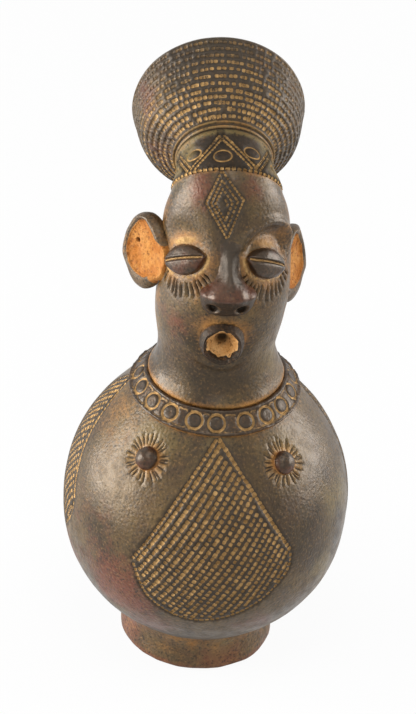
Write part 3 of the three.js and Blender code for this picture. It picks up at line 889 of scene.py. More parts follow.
# Mean length of the skin up to each station, so that the flat chart keeps its scale
runTable = np.linspace(0, 10, 401)
meridians = np.stack([headBase(runTable, np.full(len(runTable), turn)) for turn in spokes(24)])
runLength = np.concatenate([[0], np.cumsum(np.linalg.norm(np.diff(meridians, axis=1), axis=2).mean(axis=0))])


def lengthOf(run):
    return np.interp(run, runTable, runLength)


def runOf(length):
    return np.interp(length, runLength, runTable)


def headOffset(turn, run, a, b):
    across, upward, _ = headSlopes(run, turn)
    size = np.linalg.norm(across, axis=1)
    along = across / size[:, None]
    slide = np.sum(upward * along, axis=1)
    climb = np.linalg.norm(upward - slide[:, None] * along, axis=1)
    runStep = b / climb[:, None]
    return turn[:, None] + (a - slide[:, None] * runStep) / size[:, None], run[:, None] + runStep


def headChart(reference):
    def chart(turn, run, a, b):
        turned, ran = headOffset(turn, run, a, b)
        return (turned + pi) % (2 * pi) * reference, lengthOf(ran)
    return chart


# Axes of a spot on the head: along the turn, up the skin and out of it, spun about the last
def headAxes(run, turn, spin=0.0):
    run, turn = np.array([run], float), np.array([turn], float)
    across, upward, out = (v[0] for v in headSlopes(run, turn))
    across = across / np.linalg.norm(across)
    upward = np.cross(out, across)
    cos, sin = math.cos(spin), math.sin(spin)
    return {
        "origin": headBase(run, turn)[0], "out": out,
        "across": across * cos + upward * sin, "up": upward * cos - across * sin,
    }


def frontAxes(origin):
    return {"origin": np.array(origin, float), "across": np.array([1.0, 0, 0]), "up": np.array([0, 0, 1.0])}


def flatOn(axes, points):
    offset = points - axes["origin"]
    return offset @ axes["across"], offset @ axes["up"]


# Finds the run and turn on the skin whose place is at a and b on the given axes
def findOnHead(axes, a, b, run, turn):
    run, turn = np.full(len(a), float(run)), np.full(len(a), float(turn))
    axisA, axisB = axes["across"], axes["up"]
    for _ in range(8):
        placeA, placeB = flatOn(axes, headBase(run, turn))
        missA, missB = a - placeA, b - placeB
        across, upward, _ = headSlopes(run, turn)
        aa, ab, ba, bb = across @ axisA, upward @ axisA, across @ axisB, upward @ axisB
        det = aa * bb - ab * ba
        det = np.where(np.abs(det) < 1e-3, 1e-3, det)
        turn = turn + np.clip((missA * bb - ab * missB) / det, -0.3, 0.3)
        run = run + np.clip((aa * missB - ba * missA) / det, -0.6, 0.6)
        run = np.clip(run, 0.05, 9.9)
    return run, turn


# Eyes: the turn of each, how far its outer end droops, its pad and its slit
eye = {
    "run": 5.41, "turn": {-1: 44.2, 1: 38.8}, "droop": 13, "half": 12.1, "upper": 6.9, "lower": 7.5,
    "bulge": 4.5, "slit": 0.72, "slitDepth": 1.9, "slitRise": 0.7, "surround": 7.7,
}
eyeTurn = {side: side * rad(eye["turn"][side]) for side in (-1, 1)}
eyeAxes = {side: headAxes(eye["run"], eyeTurn[side], -side * rad(eye["droop"])) for side in (-1, 1)}
for side in (-1, 1):
    eyeAxes[side]["across"] = eyeAxes[side]["across"] * side  # towards the outer end


def eyeRing(a, b):
    return np.sqrt((a / eye["half"]) ** 2 + (b / eye["surround"]) ** 2)


def facing(turn, limit=1.75):
    return np.abs(wrapped(turn)) < limit


# Brow arches, crisp over the left eye and soft over the right, and a low jaw
brow = {
    1: {"depth": 3.2, "ridge": 2.5, "width": 0.1, "hold": 0.21},
    -1: {"depth": 0.9, "ridge": 0.3, "width": 0.2, "hold": 0.3},
    "reach": 16.8, "above": 19.0, "below": 13.0,
}
mouth = {
    "run": 4 + (37.8 - 38) / 17, "lip": 10.3, "lipHeight": 4.3, "dish": 7.5, "seat": 8.95, "seatDepth": 5.7,
    "slope": 0.26, "raise": 0.6,
}
mouthAxes = headAxes(mouth["run"], 0)


def faceRelief(points, turn):
    lift = np.zeros(len(points))
    front = facing(turn)
    for side in (-1, 1):
        a, b = flatOn(eyeAxes[side], points)
        look = brow[side]
        ring = np.sqrt((a / brow["reach"]) ** 2 + (b / np.where(b > 0, brow["above"], brow["below"])) ** 2)
        over = ease(-3, 7, b) * front
        lift -= look["depth"] * hump(ring, 0.7, look["hold"]) * over * ease(15, 4, a)
        lift += look["ridge"] * hump(ring, 1.06, look["width"]) * over * ease(18, 10, a)
    a, b = flatOn(mouthAxes, points)
    reach = np.sqrt(a**2 + (b * 1.05) ** 2)
    lift += (0.9 * hump(reach, 16.5, 4.2) * ease(4, -9, b) - 0.35 * hump(reach, 11.4, 1.1)) * front
    return lift


def faceSwell(base, turn):
    swell = uneven(base, 72, 0.8) + faceRelief(base, turn)
    return swell * ease(7, 13, np.linalg.norm(base - mouthAxes["origin"], axis=1))


# The face has its own relief; the band and the crown are only uneven, each by its own seed
def headSkin(run, turn, lift, seed=None):
    base = headBase(run, turn)
    _, _, out = headSlopes(run, turn)
    swell = faceSwell(base, turn) if seed is None else uneven(base, seed, 0.8)
    return base + out * (swell + lift)[:, None], base


def shellRing(run, inset, columns, shift=0.0):
    return headBase(np.full(columns, float(run)), spokes(columns, -pi), inset, shift)


# Lashes, cut in a fan under each eye; and the dotted lozenge on the forehead, in mm across and up from its
# foot, with a side corner, a scale, the gap between dots and the earth in them for each of its rows
lash = {
    "count": 13, "from": -10, "to": -138, "outer": 15.2, "inner": 13.0, "low": 12.2, "length": 4.8,
    "width": 1.65, "depth": 2.0,
}
lozenge = {
    "foot": (-2.1, -21.6, 250.7), "top": (-3.4, 28.1), "left": (-10.2, 13.0), "right": (7.3, 15.1),
    "low": (0.4, -3.6), "pitch": 1.8, "dash": 0.8, "dashHigh": 0.72, "depth": 0.55,
    "rows": [
        ("left", 1.0, 1.0, 0.86), ("left", 0.74, 1.0, 0.86), ("left", 0.5, 1.0, 0.86),
        ("right", 1.0, 1.0, 0.86), ("right", 0.7, 1.25, 0.68), ("right", 0.42, 1.25, 0.68),
        ("right", 0.16, 1.25, 0.68),
    ],
}


# Presses single points, given by their run and turn
def pressSpots(marks, chart, run, turn, depth, shade=0.0):
    press(marks, chart, turn, run, [[0.0]], [[0.0]], depth, 0.0, shade)


def pressLashes(marks, chart, side, seed):
    rng = np.random.default_rng(seed)
    count = lash["count"]
    angle = np.radians(np.linspace(lash["from"], lash["to"], count) + 1.5 * rng.standard_normal(count))
    middle = 1 - np.abs(np.linspace(-1, 1, count)) ** 2
    length = lash["length"] * (0.62 + 0.38 * middle) * (1 + 0.1 * rng.standard_normal(count))
    startA = (np.where(np.cos(angle) > 0, lash["outer"], lash["inner"]) * np.cos(angle))[:, None]
    startB = (lash["low"] * np.sin(angle))[:, None]
    way = unit(np.stack([0.62 * np.cos(angle), np.sin(angle)], axis=1))
    wayA, wayB = way[:, :1], way[:, 1:]
    share = np.linspace(0, 1, 7)
    width = lash["width"] * (0.3 + 0.7 * np.sin(pi * (0.08 + 0.8 * share)))
    # dark down the middle of each lash: partly the dark stroke of the cut, partly painted shadow in the
    # groove
    for cross, level, shade in ((-0.5, 0, 0.2), (-0.3, 1, 1.0), (0.3, 1, 1.0), (0.5, 0, 0.2)):
        a = startA + wayA * length[:, None] * share - wayB * cross * width
        b = startB + wayB * length[:, None] * share + wayA * cross * width
        run, turn = findOnHead(eyeAxes[side], a.ravel(), b.ravel(), eye["run"], eyeTurn[side])
        deep = level * lash["depth"] * np.sin(pi * (0.1 + 0.82 * share)) ** 0.5
        pressSpots(marks, chart, run, turn, np.broadcast_to(deep, a.shape).reshape(-1, 1), shade)


def pressLozenge(marks, chart):
    run0, turn0 = findOnHead(frontAxes(lozenge["foot"]), np.zeros(1), np.zeros(1), 6.2, -0.05)
    axes = headAxes(run0[0], turn0[0])
    corners = {key: np.array(lozenge[key], float) for key in ("top", "left", "right", "low")}
    middle = sum(corners.values()) / 4
    for k, (corner, scale, gap, earth) in enumerate(lozenge["rows"]):
        line = np.array([middle + (corners[key] - middle) * scale for key in ("top", corner, "low")])
        spots, angle = evenSteps(line, lozenge["pitch"] * gap)
        run, turn = findOnHead(axes, spots[:, 0], spots[:, 1], run0[0], turn0[0])
        half = (lozenge["dash"] * gap, lozenge["dash"] * lozenge["dashHigh"])
        pressSquares(marks, chart, turn, run, angle, *half, lozenge["depth"], 60 + k, earth)


def headFilm(points, turn, run):
    z = points[:, 2]
    film = 0.75 * hump(z, neckZ + 2.4, 1.7) + 0.08 * hump(z, neckZ + 7, 5)
    film = np.maximum(film, 0.5 * ease(6.8, 6.93, run))
    front = facing(turn)
    for side in (-1, 1):
        a, b = flatOn(eyeAxes[side], points)
        ring = eyeRing(a, b)
        glow = 0.4 * hump(ring, 1.12, 0.2) + 0.4 * hump(ring, 1.5, 0.4) * ease(8, -4, b)
        # beside the left eye (side 1) the outer patch of tan film is painted light: it lifts the shadow the
        # ear casts on the temple
        over, outer = (0.95, 0) if side < 0 else (0.5, 0.5)
        glow += over * hump(a, -1, 11) * hump(b, 9.8, 3.8) + outer * hump(a, 8, 7) * hump(b, 15, 6)
        film = np.maximum(film, glow * front)
    a, b = flatOn(mouthAxes, points)
    reach = np.hypot(a, b)
    roundMouth = 0.5 * hump(reach, 10.8, 1.5) + 0.4 * hump(reach, 13.5, 3.2) * ease(-5, 7, b)
    film = np.maximum(film, roundMouth * front)
    film = np.maximum(film, 0.42 * hump(np.abs(a), 14, 3) * hump(b, 25, 9) * front)
    sides = 0.42 * hump(np.abs(wrapped(turn)), 1.45, 0.25) * ease(neckZ + 12, neckZ + 30, z)
    return np.maximum(film, sides) * (0.85 + 0.4 * softNoise(points, 7, 51))


# Brighter earth close round the eyes, most of it over the right one
def headDust(points, turn):
    dust = np.zeros(len(points))
    for side in (-1, 1):
        a, b = flatOn(eyeAxes[side], points)
        glow = 0.8 * hump(eyeRing(a, b), 1.1, 0.1) * ease(5, -3, b)
        glow += (0.85 if side < 0 else 0.5) * hump(a, -1, 9.5) * hump(b, 8.6, 2.2)
        dust = np.maximum(dust, glow * facing(turn))
    return dust * (1.0 + 0.3 * softNoise(points, 4, 53))


# The ground of the lozenge and the bridge below it are dark clay; the front of the throat is darkened with
# painted shade
def headShade(points, turn):
    x, y, z = points.T
    middle = np.interp(z, [222, 250], [0, -2.1])
    wide = np.interp(z, [225, 245, 262], [5.5, 4.5, 8.5])
    shade = 0.85 * hump(x, middle, wide) * ease(222, 232, z) * ease(278, 266, z) * facing(turn, 0.8)
    # painted shade on the front of the throat, under the face
    throat = 0.5 * hump(x, 0, 20) * hump(z, neckZ + 15, 9) * (y < 0)
    return np.maximum(shade, throat) * (0.85 + 0.4 * softNoise(points, 5, 54))


head = {"columns": 160, "reference": 30.0, "spacing": 1.25}


def makeHead():
    columns, reference = head["columns"], head["reference"]
    marks = newMarks()
    chart = headChart(reference)
    for side in (-1, 1):
        pressLashes(marks, chart, side, 70 + side)
    pressLozenge(marks, chart)
    # a flat seat for the mouth
    spoke = spokes(26)
    deepest = mouth["seatDepth"]
    for reach, deep in ((9.3, 0.0), (8.8, deepest), (5, deepest), (2, deepest)):
        run, turn = findOnHead(mouthAxes, np.cos(spoke) * reach, np.sin(spoke) * reach, mouth["run"], 0)
        pressSpots(marks, chart, run, turn, deep)
    skin = wovenSkin(marks, 2 * pi * reference, 0.0, float(lengthOf(7.0)), head["spacing"], columns, 71)
    turn, run = skin["x"] / reference - pi, runOf(skin["y"])
    base = headBase(run, turn)
    inSeat = np.hypot(*flatOn(mouthAxes, base)) < mouth["seat"]
    inSeat &= np.abs((base - mouthAxes["origin"]) @ mouthAxes["out"]) < 8
    points, base = headSkin(run, turn, -np.where(inSeat, mouth["seatDepth"], skin["depth"]))
    fields = {
        "dust": np.maximum(skin["dust"], headDust(base, turn)), "film": headFilm(base, turn, run),
        "shade": np.maximum(skin["shade"], headShade(base, turn) * (skin["dust"] < 0.5)),
    }
    rings = [shellRing(r, headWall, columns) for r in np.linspace(7, 0, 40)]
    points, faces, fields["inside"] = closeShell(skin, points, rings)
    addPiece("head", points, faces, fields, burnishedClay, "head")


makeHead()

# Hair band: a zigzag of dotted lines with an oval in each field, a row of squares at the hairline and a roll
# at the top
hairBand = {
    "columns": 160, "reference": 24.0, "spacing": 0.95, "waves": 5, "spin": -8, "low": 7.02, "high": 7.8,
    "dots": 14, "dot": (0.82, 0.7), "depth": 0.5, "gap": 2.1, "raise": 0.7, "oval": (4.2, 3.1), "edge": 6.925,
    "squares": 60, "square": (1.08, 0.78), "limit": 7.81, "ovalRuns": (7.46, 7.29), "roll": 7.905,
    "groove": 7.835,
}


def pressZigzag(marks, chart, waveTurn):
    count, rise = hairBand["dots"], hairBand["high"] - hairBand["low"]
    share = (np.arange(count) + 0.5) / count
    for k in range(2 * hairBand["waves"]):
        startTurn, endTurn = waveTurn(k), waveTurn(k + 1)
        way = 1 if k % 2 == 0 else -1
        turn = startTurn + share * (endTurn - startTurn)
        run = hairBand["low"] + (share if way > 0 else 1 - share) * rise
        across, upward, _ = headSlopes(run, turn)
        step = across * (endTurn - startTurn) + upward * rise * way
        along = unit(across)
        flat = np.sum(step * along, axis=1)
        angle = np.arctan2(np.linalg.norm(step - flat[:, None] * along, axis=1) * way, flat)
        for half, gap in enumerate((-0.5, 0.5)):
            shiftA, shiftB = -np.sin(angle) * gap * hairBand["gap"], np.cos(angle) * gap * hairBand["gap"]
            turned, ran = headOffset(turn, run, shiftA[:, None], shiftB[:, None])
            turned, ran = wrapped(turned[:, 0]), ran[:, 0]
            keep = (ran > hairBand["low"]) & (ran < hairBand["limit"]) & (np.abs(turned) < pi - 0.06)
            spots = (turned[keep], ran[keep], angle[keep])
            pressSquares(marks, chart, *spots, *hairBand["dot"], hairBand["depth"], 80 + 2 * k + half)


def pressOvals(marks, chart, waveTurn):
    cos, sin = np.cos(spokes(26)), np.sin(spokes(26))
    for k in range(2 * hairBand["waves"]):
        turn = np.array([waveTurn(k)])
        if abs(turn[0]) > pi - 0.3:
            continue
        run = np.array([hairBand["ovalRuns"][k % 2]])
        # smaller where the band is narrow
        scale = min(1.0, np.linalg.norm(headSlopes(run, turn)[1][0]) * 0.67 / 15)
        wide, high = hairBand["oval"][0] * (0.75 + 0.25 * scale), hairBand["oval"][1] * scale
        turned, ran = headOffset(turn, run, (cos * wide)[None], (sin * high)[None])
        angle = np.arctan2(cos * high, -sin * wide)
        pressLine(marks, chart, turned[0], ran[0], angle, 1.0, hairBand["depth"], 0.9)


def makeHairBand():
    columns, reference, edge = hairBand["columns"], hairBand["reference"], hairBand["edge"]
    marks = newMarks()
    chart = headChart(reference)
    waveTurn = lambda k: (k / hairBand["waves"] - 1) * pi + rad(hairBand["spin"])
    pressZigzag(marks, chart, waveTurn)
    pressOvals(marks, chart, waveTurn)
    count = hairBand["squares"]
    row = (spokes(count, -pi, 0.5), np.full(count, edge + 0.055))
    pressSquares(marks, chart, *row, 0.0, *hairBand["square"], hairBand["depth"], 96)
    low, high = float(lengthOf(edge)), float(lengthOf(8.0))
    skin = wovenSkin(marks, 2 * pi * reference, low, high, hairBand["spacing"], columns, 81)
    turn, run = skin["x"] / reference - pi, runOf(skin["y"])
    aside = np.abs(turn)
    roll, groove = hump(run, hairBand["roll"], 0.05), hairBand["groove"]
    lift = hairBand["raise"] * ease(edge, edge + 0.04, run) - 0.3 * ease(edge + 0.04, edge, run) + 0.9 * roll
    lift -= 0.2 * hump(run, 7.995, 0.02) + 0.35 * hump(run, groove, 0.018)
    points, base = headSkin(run, turn, lift - skin["depth"], 82)
    dust = np.maximum(skin["dust"], 0.45 * hump(run, groove, 0.012)) * (0.8 + 0.3 * softNoise(base, 5, 83))
    worn = 0.1 * ease(0.45, 1.1, aside) * (0.7 + 0.6 * softNoise(base, 6, 84))
    film = 0.35 * hump(run, edge, 0.05) + 0.3 * roll + worn
    # painted shade across the front of the band, under the crown's flare, and painted shadow in the groove at
    # its top
    front = 0.5 * ease(0.9, 0.4, aside) * (skin["depth"] < 0.05) * (1 - roll)
    shade = np.maximum(skin["shade"], np.maximum(0.5 * hump(run, 7.998, 0.015), front))
    olive = np.maximum(1.1 * roll, 0.85 * ease(0.5, 1.1, aside) * ease(2.9, 2.3, aside))
    wall = lambda r: headWall + (crownWall - headWall) * (r - 7)
    rings = [shellRing(r, wall(r), columns) for r in np.linspace(8.0, 7.0, 9)]
    rings.append(shellRing(6.97, 2.0, columns))
    points, faces, inside = closeShell(skin, points, rings)
    fields = {"dust": dust, "film": film, "shade": shade, "inside": inside}
    fields["olive"] = withPatches(points, "olive", olive)
    addPiece("hairBand", points, faces, fields, bandClay, "hair_band")


makeHairBand()

# Crown: rows of rolled squares from the root roll to a plain rim
crown = {
    "columns": 180, "reference": 34.0, "spacing": 1.7, "rows": 12, "first": 0.13, "last": 0.955, "pitch": 2.4,
    "half": (1.08, 0.98), "depth": 0.45, "missing": 0.015, "lip": 1.3,
}


def makeCrown():
    columns, reference = crown["columns"], crown["reference"]
    marks = newMarks()
    chart = headChart(reference)
    low, high = float(lengthOf(8.0)), float(lengthOf(10.0))
    runAt = lambda share: float(runOf(low + share * (high - low)))
    rng = np.random.default_rng(90)
    for k in range(crown["rows"]):
        run = runAt(crown["first"] + (crown["last"] - crown["first"]) * k / (crown["rows"] - 1))
        ring = headBase(np.full(90, run), spokes(90))
        count = round(np.linalg.norm(ring - np.roll(ring, -1, axis=0), axis=1).sum() / crown["pitch"])
        turn = spokes(count, -pi, 0.5) + 0.012 * rng.standard_normal(count)
        wave = 0.008 * np.sin(turn * 3 + k) + 0.006 * np.sin(turn * 7 + 2 * k)
        keep = (np.abs(turn) < pi - 0.03) & (rng.uniform(0, 1, count) > crown["missing"])
        spots = (turn[keep], (run + wave)[keep], 0.0)
        pressSquares(marks, chart, *spots, *crown["half"], crown["depth"], 200 + k)
    # closer points for the two rolls at the root
    for share in np.linspace(0.006, 0.108, 12):
        pressSpots(marks, chart, np.full(110, runAt(share)), spokes(110, -pi, 0.5), 0.0)
    skin = wovenSkin(marks, 2 * pi * reference, low, high, crown["spacing"], columns, 91)
    turn, run = skin["x"] / reference - pi, runOf(skin["y"])
    share, aside = (skin["y"] - low) / (high - low), np.abs(turn)
    groove, rootLine = hump(share, 0.048, 0.009), hump(share, 0.104, 0.01)
    roll = hump(share, 0.022, 0.012) + 0.9 * hump(share, 0.07, 0.012)
    lift = roll - 0.35 * groove - 0.3 * rootLine - skin["depth"]
    points, base = headSkin(np.minimum(run, 9.98), turn, lift, 92)
    flank = ease(0.55, 1.15, aside) * ease(2.4, 1.7, aside)
    dust = 0.93 * skin["dust"] * (1 - 0.4 * ease(0.25, 1.0, share)) * (1 - 0.3 * flank)
    dust = dust * (0.92 + 0.35 * softNoise(base, 9, 93))
    film = 0.5 * roll + 0.07 + 0.14 * softNoise(base, 12, 95)
    # painted shadow in the two grooves at the root and painted shade between its rolls; the rest is the dark
    # ground between the rows of squares, with less on the flanks
    shade = np.maximum(skin["shade"] * 0.9, 0.7 * groove + 0.6 * hump(share, 0.104, 0.009))
    ground = 0.45 * ease(0.1, 0.13, share) * (1 - 0.9 * flank)
    ground = ground + 0.6 * ease(0.12, 0.1, share) * np.clip(1 - 1.3 * roll, 0, 1)
    shade = np.maximum(shade * (1 - 0.5 * flank), ground * (skin["depth"] < 0.05))
    wall = lambda r: crownWall - (r - 8) / 2
    rings = [
        shellRing(10, wall(10) * t, columns, crown["lip"] * math.sin(pi * t) ** 0.7)
        for t in (0.12, 0.3, 0.5, 0.7, 0.88)
    ]
    rings += [shellRing(r, wall(r) + 0.16 * math.sin(7 * r), columns) for r in np.linspace(10, 8, 60)]
    for k, ring in enumerate(rings):
        ring += 0.25 * softNoise(ring, 11, 94)[:, None] * np.array([0.3, 0.3, 1.0]) * (1 if k < 5 else 0.8)
    points, faces, inside = closeShell(skin, points, rings)
    inside[len(turn) : len(turn) + 4 * columns] = 0  # the lip
    olive = withPatches(points, "olive", 1.2 * roll)
    fields = {"dust": dust, "film": film, "shade": shade, "olive": olive, "inside": inside}
    addPiece("crownFlare", points, faces, fields, burnishedClay, "crown_flare")


makeCrown()


# A pad modelled as heights over a patch of the head's skin, closed underneath
def padOnHead(name, node, axes, a, b, run, turn, heightOf, fieldsOf):
    gridA, gridB = np.meshgrid(a, b)
    flatA, flatB = gridA.ravel(), gridB.ravel()
    runs, turns = findOnHead(axes, flatA, flatB, run, turn)
    base = headBase(runs, turns)
    _, _, out = headSlopes(runs, turns)
    out = unit(out * 0.75 + 0.25 * out.mean(axis=0))
    shaped = heightOf(flatA, flatB, base)
    lift = shaped + faceSwell(base, turns)
    edge = np.zeros(gridA.shape, bool)
    edge[[0, -1], :] = True
    edge[:, [0, -1]] = True
    top = base + out * np.where(edge.ravel(), lift - 1.5, lift)[:, None]
    under = base - out * 5.2
    index = np.arange(gridA.size).reshape(gridA.shape)
    quads = np.stack([index[:-1, :-1], index[:-1, 1:], index[1:, 1:], index[1:, :-1]], axis=-1).reshape(-1, 4)
    loop = np.concatenate([index[0, :-1], index[:-1, -1], index[-1, :0:-1], index[:0:-1, 0]])
    faces = [quads, quads[:, ::-1] + gridA.size, bandFaces(loop + gridA.size, loop)]
    fields = fieldsOf(flatA, flatB, base, shaped)
    addPiece(name, np.vstack([top, under]), faces, {**fields, "olive": noField}, darkClay, node)


def makeEye(side):
    def slitAt(a):
        return eye["slitRise"] + 0.5 - 0.9 * (a / eye["half"]) ** 2

    def height(a, b, base):
        taper = np.clip(1 - np.abs(a / eye["half"]) ** 2.3, 0, 1)
        half = np.where(b > 0, eye["upper"], eye["lower"]) * taper**0.75
        ring = np.where(np.abs(a) > eye["half"], 1.6, np.abs(b) / np.maximum(half, 0.25))
        inPad = ring < 1
        dome = np.where(inPad, np.sqrt(np.clip(1 - ring**2.3, 0, 1)), 0)
        lift = eye["bulge"] * dome * (0.35 + 0.65 * taper**0.6)
        lift = np.where(inPad, lift, -4.5 * np.minimum(ring - 1, 0.6))
        slit = hump(b, slitAt(a), eye["slit"]) * ease(eye["half"], eye["half"] * 0.86, np.abs(a))
        lip = hump(b, slitAt(a) + 1.25, 0.8) * 0.35
        lift = lift + np.where(inPad, lip * taper - slit * eye["slitDepth"], 0)
        return lift + 0.13 * softNoise(base, 5, 110 + side) + 0.07 * softNoise(base, 1.8, 112 + side)

    def fields(a, b, base, lift):
        opened = ease(eye["half"], eye["half"] * 0.9, np.abs(a))
        return {
            "dust": 0.8 * (hump(b, slitAt(a) - 0.15, 0.5) * opened),
            # painted shade along the upper lid's edge, above the slit
            "shade": 0.85 * hump(b, slitAt(a) + 0.55, 0.3) * opened,
            "film": 0.7 * ease(0.5, 0.0, lift), "red": 0.25 + 0.35 * softNoise(base, 6, 114),
        }

    a, b = np.linspace(-14, 14, 96)[::side], np.linspace(-9.6, 9.2, 72)
    names = ("eye" + sideNames[side], "eye_" + sideNames[side].lower())
    padOnHead(*names, eyeAxes[side], a, b, eye["run"], eyeTurn[side], height, fields)


makeEye(-1)
makeEye(1)

# Nose: height of each section above the neck joint, half width, and forward reach of its ridge
nose = {
    "sections": [
        (54.2, 6.2, 31.6), (56, 9.6, 34.0), (59, 11.8, 36.4), (62, 12.6, 38.6), (64.6, 12.8, 40.4),
        (66.2, 12.5, 41.3), (67.8, 11.0, 41.0), (70.3, 8.2, 39.4), (74, 6.0, 36.6), (78, 5.2, 33.8),
        (83, 4.9, 30.2), (89, 4.6, 26.0), (95, 4.4, 21.9), (100, 4.2, 18.4),
    ],
    "run": 5.6, "nostril": (6.0, 60.2), "nostrilSize": 2.2, "nostrilDepth": 4.2,
}


def makeNose():
    line = smoothLine(nose["sections"], 10)
    rises = np.linspace(51.5, 101, 130)
    midRun, midTurn = findOnHead(frontAxes((0, 0, 0)), np.zeros(130), rises + neckZ, nose["run"], 0)
    peak = np.maximum(np.interp(rises, line[:, 0], line[:, 2]) + headBase(midRun, midTurn)[:, 1], -1.0)
    nostrilA, nostrilRise = nose["nostril"]

    def fromNostril(across, rise):
        return np.hypot((across - nostrilA) / nose["nostrilSize"], (rise - nostrilRise) / nose["nostrilSize"])

    def height(a, rise, base):
        half = np.interp(rise, line[:, 0], line[:, 1])
        u = np.abs(a - 0.25 * np.sin(rise / 9)) / half
        wing = ease(79, 69, rise)
        wings = np.clip(1 - np.minimum(u, 1) ** 2.6, 0, 1) ** 0.58
        ridge = 0.5 + 0.5 * np.cos(pi * np.minimum(u, 1))
        lift = np.maximum(np.interp(rise, rises, peak), 0) * (wing * wings + (1 - wing) * ridge)
        lift = lift * (1 - 0.85 * ease(72, 92, rise))
        lift = lift - 2.6 * ease(0.96, 1.25, u) - 1.6 * ease(56, 53.5, rise) - 2.2 * ease(88, 97, rise)
        lift = lift - 0.9 * (hump(np.abs(a), 7.4, 1.4) * hump(rise, 68, 4))
        for side in (-1, 1):
            lift = lift - nose["nostrilDepth"] * np.exp(-(fromNostril(side * a, rise) ** 4))
        return lift + 0.14 * softNoise(base, 6, 120) + 0.06 * softNoise(base, 2, 121)

    def fields(a, rise, base, lift):
        aside = np.abs(a)
        away = fromNostril(aside, rise)
        # painted shadow in the nostrils and painted shade under the nose; the dark strip down the bridge is
        # the nose's own dark clay
        shade = np.maximum(ease(1.15, 0.6, away), 0.4 * ease(66, 63.5, rise) * (lift > 0.8))
        shade = np.maximum(shade, 0.8 * ease(70, 80, rise) * ease(5.4, 2.4, aside) * ease(100, 84, rise))
        film = 0.5 * ease(0.7, 0.0, lift) * ease(76, 70, rise) + 0.3 * hump(away, 1.35, 0.25)
        film = np.maximum(film, 0.35 * ease(74, 78, rise) * ease(3.4, 5.0, aside) * ease(84, 78, rise))
        return {"film": film, "shade": shade, "red": 0.5 * hump(rise, 68, 5.5) * ease(64, 66.5, rise) + 0.1}

    a, b = np.linspace(-16, 16, 110), np.linspace(51.8, 100.5, 150)
    padOnHead("nose", "nose", frontAxes((0, 0, neckZ)), a, b, nose["run"], 0.0, height, fields)


makeNose()


def placedOn(axes, points):
    a, b, high = (points[:, k] for k in range(3))
    flat = axes["origin"] + np.outer(a, axes["across"]) - np.outer(b, axes["up"])
    return flat + np.outer(high, axes["out"])


def makeMouth():
    lip, top, dish = mouth["lip"], mouth["lipHeight"], mouth["dish"]
    profile = np.vstack([
        [(0, -5.0), (4, -5.0), (8.3, -5.0), (8.3, -3.2), (lip - 0.2, -2.6)],
        smoothLine([
            (lip + 0.2, -1.6), (lip + 0.15, 0.4), (lip - 0.1, 1.8), (lip - 0.75, 2.9), (lip - 1.6, top),
            (lip - 2.3, top - 0.35), (dish - 0.3, top - 1.1),
            (6.4, 0.9), (4.9, -0.5), (3.3, -2.0), (2.3, -3.1), (1.5, -4.1),
        ], 7),
        [(0.8, -4.4), (0, -4.5)],
    ])
    points, faces = turnedGrid(profile, 112)
    reach, high = np.hypot(points[:, 0], points[:, 1]), points[:, 2]  # high follows the points as they move
    chip = 0.85 * np.maximum(softNoise(points, 2.4, 130), 0) * hump(reach, lip - 2.4, 0.9) * (high > 0)
    wobble = 0.28 * softNoise(points, 8, 131) + 0.1 * softNoise(points, 2.5, 132) + chip
    points[:, :2] *= np.where(high > -2.5, 1 + wobble / np.maximum(reach, 2), 1)[:, None]
    points[:, 2] += np.where(high > -2.5, 0.16 * softNoise(points, 4, 133) - 0.8 * chip, 0)
    crumble = 0.28 * softNoise(points, 1.7, 136) + 0.2 * softNoise(points, 0.9, 137)
    points[:, 2] += crumble * (reach < dish + 0.6) * (high > -4.3)
    points[:, 2] += (mouth["slope"] * points[:, 1] + mouth["raise"]) * ease(-2.5, 1.5, high)
    edge = reach - 0.5 * chip + 0.4 * softNoise(points, 1.8, 134)
    edge = edge + 0.7 * ease(-0.3, 0.8, points[:, 1] / np.maximum(reach, 1))
    fields = {
        "pale": ease(lip - 2.7, lip - 3.2, edge) * (high > -4.7) * (reach < lip - 1),
        "film": np.maximum(0.36 * ease(0.3, -0.9, high) * (reach > lip - 1), 0.2 * softNoise(points, 3, 135)),
        # painted shade, deepening towards the pit in the middle of the dish
        "shade": np.where(high > -4.7, 0.95 * ease(4.6, 1.4, reach), 0),
    }
    addPiece("mouthRing", placedOn(mouthAxes, points), faces, fields, mouthClay, "mouth_ring")


makeMouth()

# Ears: a bare dish in a dark rim that is thin outside and thick at the bottom, with a raised lobe above it,
# and gone where it meets the head
ear = {
    "height": 39, "width": 28, "dish": 3.0, "rim": 4.0, "root": 22, "tip": 12, "backset": 3, "sunk": 2.4,
    "pin": (-6.0, 2.6), "pinRadius": 1.0, "pinDepth": 2.4,
    "inner": 13.2, "side": 10.8, "top": 15.6, "lobe": (0.5, 0.866, 13.6),
    -1: {"out": 40.2, "rise": 66.2, "turn": 35, "bottom": 11.7, "paleFrom": (-0.72, -0.5)},
    1: {"out": 33.8, "rise": 61.8, "turn": 24, "bottom": 10.1, "paleFrom": (-0.2, 0.0)},
}


# Signed reach beyond the head's skin, with the run and turn of each point
def headReach(points):
    run = np.full(len(points), 5.3)
    for _ in range(30):
        x, y, rise, lean, *_ = stationAt(run).T
        tilt = np.radians(lean)
        miss = (points[:, 1] - y) * np.sin(tilt) + (points[:, 2] - neckZ - rise) * np.cos(tilt)
        run = np.clip(run + np.clip(miss / 24, -0.4, 0.4), 0, 9.9)
    x, y, rise, lean, side, front, back = stationAt(run).T
    tilt = np.radians(lean)
    depth = -(points[:, 1] - y) * np.cos(tilt) + (points[:, 2] - neckZ - rise) * np.sin(tilt)
    shareA, shareB = (points[:, 0] - x) / side, depth / np.where(depth > 0, front, back)
    return (np.hypot(shareA, shareB) - 1) * 31, run, np.arctan2(shareA, shareB)


